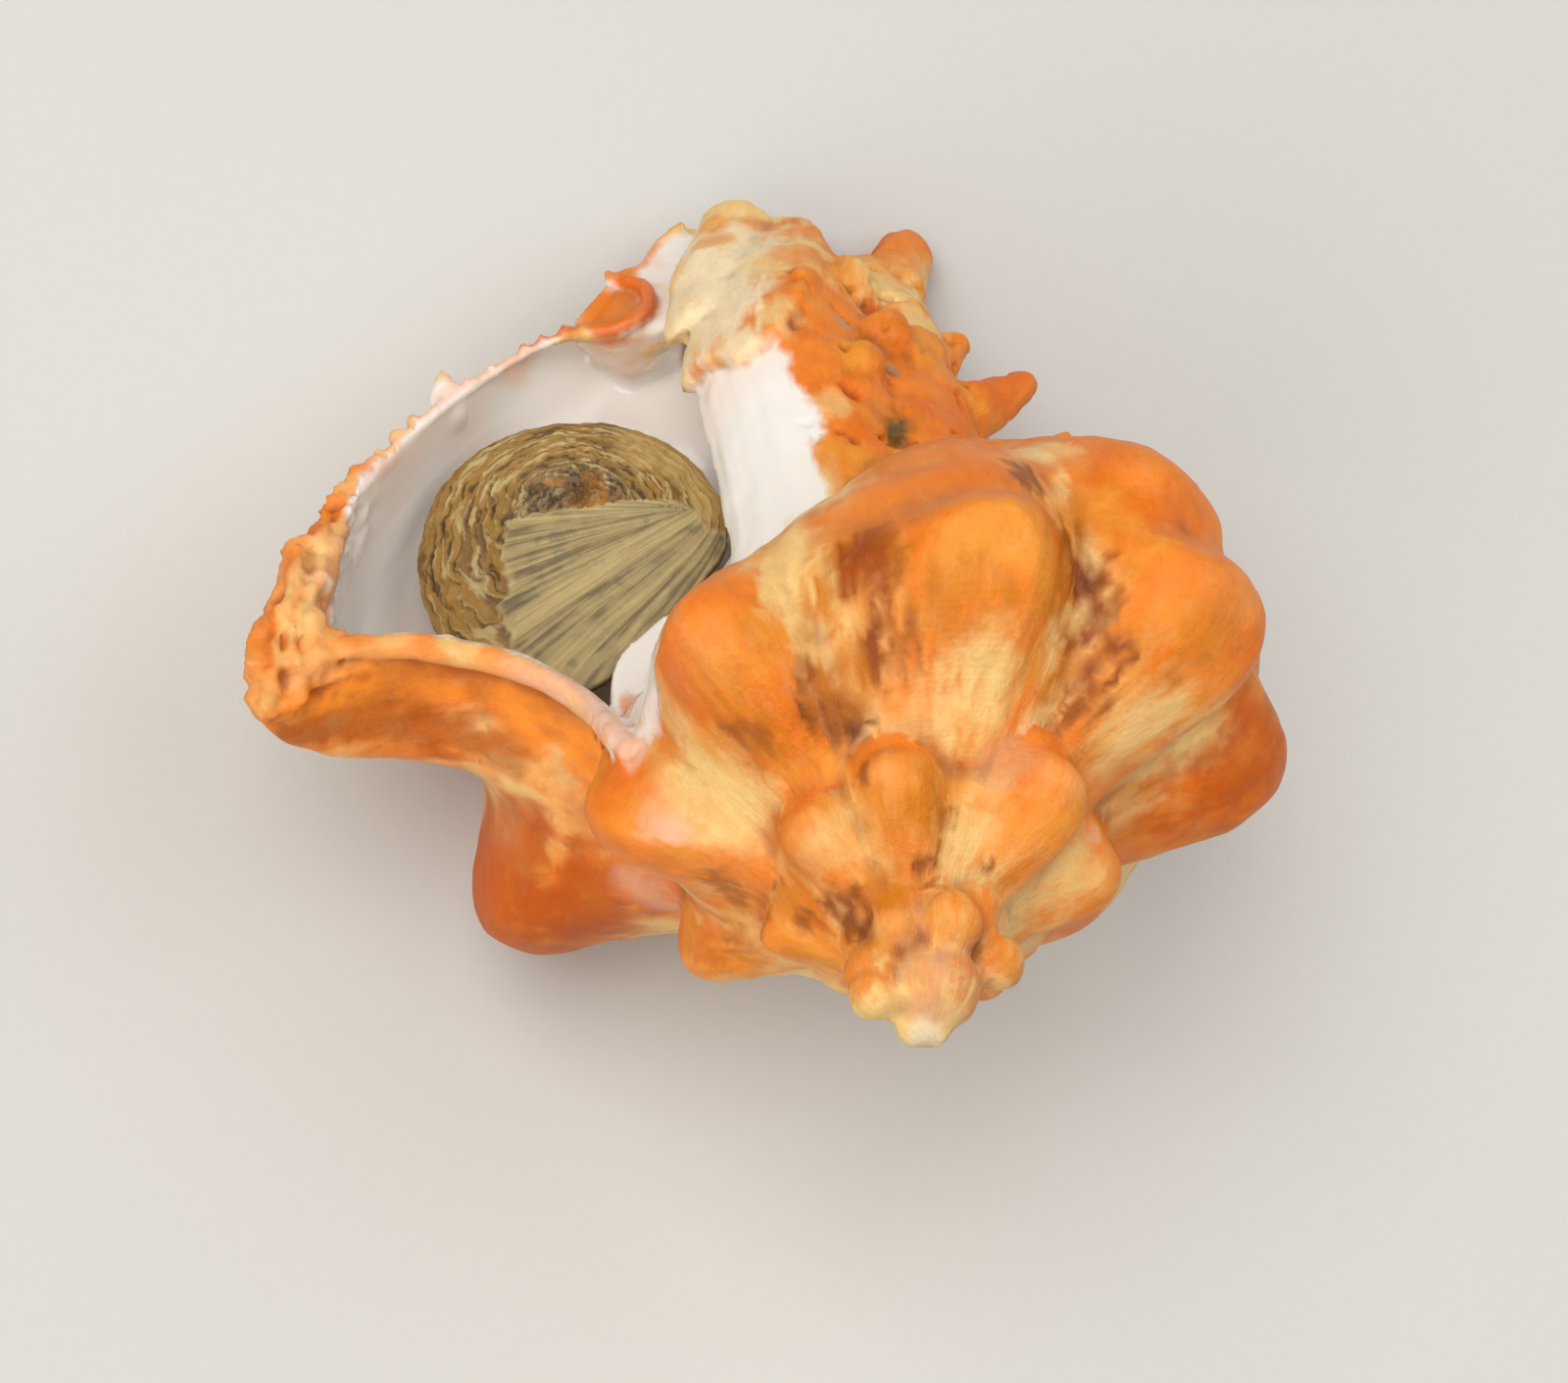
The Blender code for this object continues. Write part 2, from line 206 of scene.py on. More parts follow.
def loft(name: str, rings: Array) -> Thing:
    """Closed object over a stack of closed rings of points.

    Args:
        name: the object's name.
        rings: places in mm, indexed by ring, then by place round the ring.

    Returns:
        The object, its doubles merged and its faces turned out.
    """
    count, around = rings.shape[:2]
    index = np.arange(count * around).reshape(count, around)
    beside = np.roll(index, -1, axis=1)
    faces = np.stack([index[:-1], beside[:-1], beside[1:], index[1:]], -1).reshape(-1, 4).tolist()
    faces += [index[0, ::-1].tolist(), index[-1].tolist()]
    mesh = bpy.data.meshes.new(name)
    mesh.from_pydata((rings.reshape(-1, 3) * MM).tolist(), [], faces)
    thing = bpy.data.objects.new(name, mesh)
    bpy.context.scene.collection.objects.link(thing)
    only(thing)
    bpy.ops.object.mode_set(mode="EDIT")
    bpy.ops.mesh.select_all(action="SELECT")
    bpy.ops.mesh.remove_doubles(threshold=DOUBLES)
    bpy.ops.mesh.normals_make_consistent(inside=False)
    bpy.ops.object.mode_set(mode="OBJECT")
    return thing


def rod(name: str, path: tuple | list, radii: tuple | list) -> Thing:
    """Rod with round sections through points.

    Args:
        name: the object's name.
        path: places in mm.
        radii: a radius in mm for each place.

    Returns:
        The closed rod.
    """
    line = spline(path, ROD_STEPS * len(path))
    thick = spline([(radius,) for radius in radii], len(line))[:, 0]
    along = unit(np.gradient(line, axis=0))
    side = unit(np.cross(along, ROD_CROSSWISE))
    other = np.cross(side, along)
    turn = np.linspace(0, 2 * math.pi, ROD_SIDES, endpoint=False)
    rings = (line[:, None] + thick[:, None, None]
             * (np.cos(turn)[None, :, None] * side[:, None]
                + np.sin(turn)[None, :, None] * other[:, None]))
    return loft(name, rings)


def ball(name: str, centre: Point, radius: float, stretch: Point = (1, 1, 1)) -> Thing:
    """Ball or egg.

    Args:
        name: the object's name.
        centre: its middle in mm.
        radius: its radius in mm.
        stretch: how much longer it is along each axis.

    Returns:
        The closed ball, with its place in its mesh.
    """
    bpy.ops.mesh.primitive_uv_sphere_add(
        segments=BALL_SEGMENTS, ring_count=BALL_RINGS, radius=radius * MM,
        location=Vector(centre) * MM, scale=stretch)
    egg = bpy.context.object
    egg.name = name
    only(egg)
    bpy.ops.object.transform_apply(location=True, rotation=True, scale=True)
    return egg


def joined(pieces: list, name: str) -> Thing:
    """Several pieces joined as one object.

    Args:
        pieces: the objects, of which the first is kept.
        name: the new name.

    Returns:
        The one object.
    """
    bpy.ops.object.select_all(action="DESELECT")
    for piece in pieces:
        piece.select_set(True)
    bpy.context.view_layer.objects.active = pieces[0]
    bpy.ops.object.join()
    pieces[0].name = name
    return pieces[0]


def apply_modifier(thing: Thing, kind: str, **settings: object) -> None:
    """Add one modifier and apply it.

    Args:
        thing: the object that gets it.
        kind: the modifier's kind.
        settings: its settings by name.
    """
    only(thing)
    step = thing.modifiers.new(kind.lower(), kind)
    for key, value in settings.items():
        setattr(step, key, value)
    bpy.ops.object.modifier_apply(modifier=step.name)


def melt(thing: Thing, voxel: float, rounds: int) -> None:
    """Melt an object into one skin of squares of a size in mm, with its joints softened."""
    apply_modifier(thing, "REMESH", mode="VOXEL", voxel_size=voxel * MM)
    apply_modifier(thing, "SMOOTH", factor=0.5, iterations=rounds)


def cut(thing: Thing, tool: Thing) -> None:
    """Take a tool's volume out of an object, then remove the tool."""
    apply_modifier(thing, "BOOLEAN", operation="DIFFERENCE", solver="EXACT", object=tool)
    bpy.data.objects.remove(tool)


def corners(thing: Thing) -> Array:
    """Places of a mesh's vertices in mm."""
    flat = np.empty(3 * len(thing.data.vertices), np.float32)
    thing.data.vertices.foreach_get("co", flat)
    return flat.reshape(-1, 3).astype(float) / MM


def put_corners(thing: Thing, places: Array) -> None:
    """Set the places of a mesh's vertices, in mm."""
    thing.data.vertices.foreach_set("co", (places * MM).astype(np.float32).ravel())
    thing.data.update()


def outward(thing: Thing) -> Array:
    """Unit normals of a mesh's vertices."""
    flat = np.empty(3 * len(thing.data.vertices), np.float32)
    thing.data.vertex_normals.foreach_get("vector", flat)
    return flat.reshape(-1, 3).astype(float)


def mark(thing: Thing, name: str, values: Array) -> None:
    """Store a number or a colour on every vertex.

    Args:
        thing: the mesh object.
        name: the attribute's name.
        values: one number, or one row of red, green and blue, for each vertex.
    """
    if values.ndim == 1:
        layer = thing.data.attributes.new(name, "FLOAT", "POINT")
        layer.data.foreach_set("value", values.astype(np.float32))
        return
    layer = thing.data.color_attributes.new(name, "FLOAT_COLOR", "POINT")
    rows = np.column_stack([values, np.ones(len(values))])
    layer.data.foreach_set("color", rows.astype(np.float32).ravel())


# ------------------------------------------------------------------ resting place
@dataclass(frozen=True)
class Rest:
    """How the growing frame lies in the world.

    Attributes:
        up: the direction in the growing frame that points up from the floor.
        apex_points: degrees round from +X in which the apex then points.
    """

    up: Point = (-0.1647, -0.8233, 0.5433)
    apex_points: float = 50.0

    def turn(self) -> Array:
        """Rotation from the growing frame to the world."""
        up = Vector(self.up).normalized()
        ahead = (Vector((0, 0, 1)) - up * up.z).normalized()
        on_back = Matrix((ahead, up.cross(ahead), up))
        return np.array(Matrix.Rotation(math.radians(self.apex_points), 3, "Z") @ on_back)

    def place(self, lowest_of_plate: Array) -> Array:
        """Origin of the growing frame in mm, from the lowest corner of the turned plain plate."""
        low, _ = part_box("operculum")
        return np.array(low) / MM - lowest_of_plate


# ------------------------------------------------------------------ growth of the whorl
@dataclass(frozen=True)
class Rib:
    """One rounded rib across the whorl.

    Attributes:
        angle: where it stands.
        knob: size of its shoulder knob, as a share of the full crest.
        side: size of the rib below the shoulder.
        younger: degrees it takes to rise on the side of the lip.
        older: degrees it takes to fall on the other side.
        square: how flat its crest is and how steep its sides are.
    """

    angle: float
    knob: float
    side: float
    younger: float
    older: float
    square: float = 2.2


@dataclass(frozen=True)
class Lump:
    """A local swelling of the whorl's skin.

    Attributes:
        angle: where it is along the growth.
        share: where it is across the whorl, from 0 at the suture to 1 at the canal's end.
        rise: height in mm at the lip's size; below 0 it is a dent.
        along: degrees over which it dies away.
        across: shares over which it dies away.
    """

    angle: float
    share: float
    rise: float
    along: float
    across: float


@dataclass
class Whorl:
    """The outside of the growing tube and the hollow inside it.

    Half-sections are lists of (radius, drop) in mm, at the size of the whorl at the lip.

    Attributes:
        growth_per_whorl: how many times larger a whorl is than the one before it.
        lip_angle, oldest_angle: where the outer lip ends, and where the apex begins.
        steps, stations: how many sections, and places down each.
        step_crowding: how much closer the sections are near the lip.
        shoulder, shoulder_softness: share at which the shoulder gives way to the side.
        overlap: how far the whorl reaches up inside the one before it.
        flare_above, flare_below: degrees over which the lip flares, above and below it.
        between_ribs, rib_crest, outer_lip: half-sections of the outside.
        ribs, lumps: what stands on the outside.
        lean, lean_range: degrees by which the ribs lean, and the shares between which they do.
        ramp_calm: how much weaker the ribs are on the ramp beside the suture.
        hollow_end: how deep the hollow goes.
        body_hollow, lip_hollow, rim_hollow: half-sections of the hollow, closed.
        rim_depth: degrees over which the hollow's rim gives way to its lip.
        hollow_narrows: share by which the hollow is narrower deep inside.
        hollow_middle: (radius, drop) about which it narrows.
    """

    growth_per_whorl: float = 1.917
    lip_angle: float = -8.0
    oldest_angle: float = 1750.0
    steps: int = 1500
    stations: int = 220
    step_crowding: float = 1.25
    shoulder: float = 0.42
    shoulder_softness: float = 0.04
    overlap: float = 5.0
    flare_above: float = 20.0
    flare_below: float = 33.0
    between_ribs: tuple = (
        (18.6, 25), (23, 28.2), (28.4, 33), (33.2, 38.8), (35.4, 44.4),
        (36, 50.4), (34.8, 57), (31.2, 63.6), (25.3, 69.4), (18.3, 74.6),
        (13.3, 79.4), (9.8, 84), (7.6, 88.6), (6.6, 91))
    rib_crest: tuple = (
        (18.2, 22.2), (24.6, 25.6), (32.2, 28.6), (39.8, 33.4), (43.2, 39.4),
        (41.2, 46.6), (42, 54.6), (38, 62.2), (31.2, 68.4), (24, 74.8),
        (18, 80.6), (13.2, 85.4), (9.7, 89.8), (7.6, 91.5))
    outer_lip: tuple = (
        (19.2, 27.2), (23.5, 34.2), (30.8, 38.9), (39.2, 39.2), (48.4, 37.2),
        (47.9, 44.2), (44.9, 52.2), (40.4, 59.2), (35.6, 66.6), (30, 73.2),
        (24.6, 78.6), (19.3, 84), (15.6, 89.4), (12.8, 94))
    ribs: tuple = tuple(Rib(*row) for row in (
        (35, 1.10, 1.05, 9, 14), (78, 0.20, 0.30, 10, 14), (123, 0.30, 0.35, 10, 14),
        (167, 0.95, 1, 9, 18), (209, 1.15, 1.15, 15, 17, 4.5), (249, 0.92, 0.70, 13, 23, 2),
        (301, 1.15, 0, 9, 20, 2.6), (352, 1, 0.9, 9, 18), (397, 0.95, 0.9, 9, 12),
        (446, 0.3, 0.5, 10, 12), (488, 0.3, 0.5, 10, 12), (529, 1, 0.9, 8, 16),
        (576, 1.3, 1, 13, 15, 3.4), (631, 1.15, 0.8, 13, 14, 3.2), (668, 0.85, 0.6, 11, 15, 3),
        (725, 0.8, 0.8, 9, 15), (765, 0.2, 0.3, 11, 12), (815, 0.5, 0.6, 11, 12), (858, 1, 0.8, 12, 12),
        (935, 0.55, 0.4, 12, 14, 3), (998, 0.45, 0.4, 10, 12, 3), (1048, 0.4, 0.4, 12, 15, 3),
        (1108, 0.5, 0.5, 15, 15)))
    lean: float = 30.0
    lean_range: tuple = (0.30, 0.45)
    ramp_calm: float = 0.40
    lumps: tuple = tuple(Lump(*row) for row in (
        (301, 0.33, 1.8, 9, 0.07), (286, 0.55, -2.2, 20, 0.17), (303, 0.55, -2.6, 10, 0.15),
        (252, 0.28, 1.2, 12, 0.10), (262, 0.50, -3, 18, 0.12), (231, 0.26, -0.8, 6, 0.12),
        (219, 0.47, 1, 7, 0.06), (211, 0.33, 1.2, 7, 0.07), (222, 0.30, 0.8, 6, 0.05),
        (632, 0.33, 3, 9, 0.07), (660, 0.26, 2, 10, 0.07), (582, 0.36, 2.5, 10, 0.07),
        (606, 0.38, -3, 10, 0.12), (354, 0.36, 2, 9, 0.06), (370, 0.25, -1.2, 10, 0.08),
        (398, 0.36, 2, 10, 0.07)))
    hollow_end: float = 620.0
    body_hollow: tuple = (
        (22.2, 33.6), (25, 36), (28.4, 39), (31.6, 43.8), (32.4, 49.5),
        (31, 55.6), (27.6, 61.2), (22.8, 66.4), (18, 71), (15, 73),
        (13, 73.2), (11.9, 71.5), (11, 68.5), (10.4, 65), (10.4, 60.5),
        (11.5, 55), (15.2, 50), (19, 44.8), (21, 39.4), (20.8, 35.6))
    lip_hollow: tuple = (
        (20.2, 29.2), (24.2, 35.9), (31, 40.2), (38, 41), (42.4, 42.2),
        (42.8, 49), (40.8, 56.6), (36, 65.4), (30.4, 72), (24.6, 76.4),
        (19.6, 81), (14.8, 85.5), (12.4, 82), (11.2, 74.5), (9.8, 66),
        (9.4, 57), (12.3, 49.4), (17.4, 43.8), (20.8, 38.8), (21.2, 33.6))
    rim_hollow: tuple = (
        (20.2, 29.2), (24.2, 35.6), (31, 39.9), (38.4, 40.4), (42.3, 42),
        (42.6, 49), (40.9, 56.4), (35.9, 65), (30.6, 71.9), (25.7, 77.4),
        (20.7, 82.3), (16.8, 86.9), (12.8, 83), (11.2, 74.5), (9.8, 66),
        (9.2, 56), (11.9, 48.2), (16.9, 42.7), (20.2, 38.4), (21, 33.6))
    rim_depth: float = 9.0
    hollow_narrows: float = 0.12
    hollow_middle: tuple = (25.0, 56.0)

    def size(self, angle: Array) -> Array:
        """Size of the whorl at an angle, as a share of its size at the lip."""
        return np.exp(-math.log(self.growth_per_whorl) * np.maximum(angle, 0.0) / 360.0)

    def upper(self) -> Array:
        """Share of each station that belongs to the shoulder and the ramp above it."""
        share = np.linspace(0, 1, self.stations)[None, :]
        return 1.0 / (1.0 + np.exp((share - self.shoulder) / self.shoulder_softness))

    def rise(self, angle: Array) -> Array:
        """How far the ribs lift the skin.

        Args:
            angle: where along the growth, one for each section.

        Returns:
            Shares of the full crest, indexed by section and station.
        """
        upper = self.upper()
        share = np.linspace(0, 1, self.stations)[None, :]
        slant = self.lean * (np.minimum(share, self.lean_range[1]) - self.lean_range[0])
        most = np.zeros((len(angle), self.stations))
        for rib in self.ribs:
            offset = angle[:, None] - rib.angle - slant
            width = np.where(offset > 0, rib.older, rib.younger)
            ridge = np.exp(-(np.abs(offset) / width) ** rib.square)
            most = np.maximum(most, ridge * (rib.knob * upper + rib.side * (1 - upper)))
        return most * (1 - self.ramp_calm * ease(share, 0.24, 0.06))

    def angles(self) -> Array:
        """The angles of the loft's sections, closer together near the lip."""
        along = np.linspace(0, 1, self.steps) ** self.step_crowding
        return self.lip_angle + (self.oldest_angle - self.lip_angle) * along

    def sections(self, angle: Array) -> Array:
        """Half-sections of the outside, at the size of the whorl at the lip.

        Args:
            angle: where along the growth, one for each section.

        Returns:
            (radius, drop) pairs, indexed by section and station.
        """
        base = spline(self.between_ribs, self.stations)
        crest = spline(self.rib_crest, self.stations)
        lip = spline(self.outer_lip, self.stations)
        section = base + self.rise(angle)[:, :, None] * (crest - base)
        back = np.maximum(angle - self.lip_angle, 0.0)[:, None]
        upper = self.upper()
        flare = (np.exp(-(back / self.flare_above) ** 4) * upper
                 + np.exp(-(back / self.flare_below) ** 4) * (1 - upper))[:, :, None]
        section = section * (1 - flare) + lip * flare
        tangent = np.gradient(section, axis=1)
        out = np.stack([-tangent[:, :, 1], tangent[:, :, 0]], -1)
        out *= -1.0 / np.maximum(np.linalg.norm(out, axis=2), 1e-9)[:, :, None]
        share = np.linspace(0, 1, self.stations)[None, :]
        swell = np.zeros(section.shape[:2])
        for lump in self.lumps:
            swell += lump.rise * np.exp(-((angle[:, None] - lump.angle) / lump.along) ** 2
                                        - ((share - lump.share) / lump.across) ** 2)
        return section + out * swell[:, :, None]

    def swept(self, section: Array, angle: Array) -> Array:
        """Half-sections turned about the coiling axis and sized by growth.

        Args:
            section: (radius, drop) pairs, indexed by section and station.
            angle: where along the growth, one for each section.

        Returns:
            The places in mm.
        """
        turn = np.radians(angle)[:, None]
        sized = section * self.size(angle)[:, None, None]
        return np.stack([sized[:, :, 0] * np.cos(turn), sized[:, :, 0] * np.sin(turn),
                         -sized[:, :, 1]], -1)

    def solid(self) -> Thing:
        """The whorl filled to the coiling axis."""
        angle = self.angles()
        skin = self.swept(self.sections(angle), angle)
        zero = np.zeros(len(angle))
        top = np.stack([zero, zero, skin[:, 0, 2] + self.overlap * self.size(angle)], -1)
        end = np.stack([zero, zero, skin[:, -1, 2]], -1)
        return loft("whorl", np.concatenate([top[:, None], skin, end[:, None]], 1))

    def inside(self, run_out: float = 16.0, steps: int = 260, stations: int = 120) -> Array:
        """Places of the hollow's skin, indexed by section and station.

        Args:
            run_out: degrees that it runs on past the lip.
            steps: number of sections.
            stations: number of places round each section.

        Returns:
            The places in mm.
        """
        angle = np.linspace(self.lip_angle - run_out, self.hollow_end, steps)
        body = spline(self.body_hollow, stations, closed=True)
        lip = spline(self.lip_hollow, stations, closed=True)
        back = angle - self.lip_angle
        deep = np.maximum(back - 12.0, 0.0) / 16.0
        near_lip = np.exp(-deep ** 2)[:, None, None]
        section = body * (1 - near_lip) + lip * near_lip
        rim = spline(self.rim_hollow, stations, closed=True)
        at_rim = np.exp(-(np.maximum(back, 0.0) / self.rim_depth) ** 2)[:, None, None]
        section = section * (1 - at_rim) + rim * at_rim
        opening = 1 + 0.010 * np.maximum(-back, 0.0)[:, None, None]
        opening -= self.hollow_narrows * ease(back, 120.0, 190.0)[:, None, None]
        section = np.array(self.hollow_middle) + (section - self.hollow_middle) * opening
        return self.swept(section, angle)


# ------------------------------------------------------------------ pillar, canal and frills
def spot(radius: float, angle: float, drop: float) -> Point:
    """Place in mm at a radius and drop on the half-plane at an angle."""
    turn = math.radians(angle)
    return (radius * math.cos(turn), radius * math.sin(turn), -drop)


@dataclass(frozen=True)
class Strand:
    """A rod of shell through (radius, angle, drop) places, with a thickness at each."""

    name: str
    path: tuple
    radii: tuple

    def build(self) -> Thing:
        """The strand as a closed rod."""
        return rod(self.name, [spot(*place) for place in self.path], self.radii)


@dataclass(frozen=True)
class Horn:
    """A straight tapering spine from a root to a blunt tip, both (radius, angle, drop)."""

    name: str
    root: tuple
    tip: tuple
    thick: float
    thin: float
    tip_length: float = 0.8
    tip_share: float = 0.3

    def build(self) -> Thing:
        """The spine as a closed rod."""
        a, b = Vector(spot(*self.root)), Vector(spot(*self.tip))
        past = b + (b - a).normalized() * self.thin * self.tip_length
        radii = [self.thick, (self.thick + self.thin) / 2, self.thin, self.thin * self.tip_share]
        return rod(self.name, [a, (a + b) / 2, b, past], radii)


@dataclass
class Growths:
    """Everything that is added to the whorl before the hollow is cut.

    Attributes:
        strands: the pillar, the ridge that the old canals left, and the canal.
        horns: the ends of the old canals and the lobes of the lip.
        knobs: balls at places in mm, with their radii.
    """

    strands: tuple = (
        Strand("columella", ((2, 0, 42), (4.0, -30, 56), (5.4, -36, 66), (5.6, -30, 76),
                             (4.4, -10, 85), (4.0, -10, 90)), (10.0, 8.6, 8.2, 7.0, 5.4, 4.0)),
        Strand("fasciole", ((2, 180, 48), (4.2, 185, 60), (4.4, 180, 70), (3.6, 170, 80),
                            (2.4, 160, 87)), (9.0, 6.8, 5.2, 4.4, 3.4)),
        Strand("canal", ((10.6, -24, 72), (10.0, -23, 79), (8.6, -20, 85), (7.6, -16, 91.0)),
               (4.7, 4.6, 4.3, 3.8)))
    horns: tuple = (
        Horn("canal_end_1", (3, 150, 80), (7.8, 156, 93.4), 4.6, 2.4),
        Horn("canal_end_2", (2, 160, 76), (6.0, 172, 86.0), 4.0, 2.3),
        Horn("canal_end_3", (4, 168, 70), (10.4, 166, 78.8), 3.4, 1.3),
        Horn("canal_end_4", (5, 176, 64), (15.4, 175, 71.4), 4.6, 1.2),
        Horn("canal_end_5", (7, 184, 54), (17.6, 187, 59.8), 4.2, 0.9),
        Horn("lip_lobe_1", (43.0, -5, 49.0), (44.7, -7, 47.8), 2.4, 2.0),
        Horn("lip_lobe_2", (44.2, -5, 44.0), (46.1, -7, 42.6), 2.2, 1.8),
        Horn("lip_lobe_3", (42.4, -5, 53.0), (43.5, -6, 52.0), 1.8, 1.5),
        Horn("lip_lobe_4", (45.6, -3, 37.8), (48.1, -4.4, 36.4), 2.2, 1.8))
    knobs: tuple = (((0.6, -0.6, 0.9), 1.5), ((-0.9, -0.5, 1.0), 1.5), ((-1.2, -1.5, -1.9), 3.5),
                    ((2.9, -2.6, -3.2), 2.3), ((-6.0, -0.6, -4.6), 2.0), ((1.2, -4.6, -5.6), 1.6),
                    ((-3.0, -4.8, -5.2), 2.2), ((3.1, -3.0, -0.5), 1.9), ((-0.4, -4.6, -78.4), 3.2),
                    ((-3.8, -5.6, -71.0), 2.4), ((-1.6, -8.2, -64.6), 2.0))

    def build(self) -> list:
        """The pillar, the canal and its old ends, the lip's lobes, and the tip."""
        pieces = [ball("apex_knob", centre, radius) for centre, radius in self.knobs]
        return pieces + [piece.build() for piece in self.strands + self.horns]


@dataclass
class Openings:
    """What is taken out of the shell besides its hollow.

    Attributes:
        bores: round passages.
        umbilicus: place, radius and stretch of the chink beside the pillar.
        slit_line: (radius, angle, drop) places along the canal's slit, with its depth at each.
        slit_faces: direction in degrees in which the slit opens.
        slit_width: its width in mm.
    """

    bores: tuple = (
        Strand("canal_bore", ((14, 0, 74), (12.5, -6, 79), (10.4, -14, 84), (8.8, -16, 89),
                              (7.6, -14, 98)), (4.6, 3.4, 2.9, 2.6, 2.3)),)
    umbilicus: tuple = ((-3.6, -7.9, -54.9), 1.25, (1.5, 1.5, 0.8))
    slit_line: tuple = (((11.5, -10, 78), 9.0), ((8.0, -15, 97), 8.0))
    slit_faces: float = -42.0
    slit_width: float = 1.3

    def slit(self) -> Thing:
        """Blade that opens the canal along its front."""
        turn = math.radians(self.slit_faces)
        out = np.array((math.cos(turn), math.sin(turn), 0.0))
        wide = np.array((-math.sin(turn), math.cos(turn), 0.0)) * self.slit_width / 2
        blade = []
        for place, reach in self.slit_line:
            middle = np.array(spot(*place))
            blade.append([middle - wide, middle + wide, middle + out * reach + wide,
                          middle + out * reach - wide])
        return loft("slit", np.array(blade))

    def build(self, whorl: Whorl) -> list:
        """The closed cutters."""
        return ([loft("hollow", whorl.inside()), self.slit()] + [bore.build() for bore in self.bores]
                + [ball("umbilicus", *self.umbilicus)])


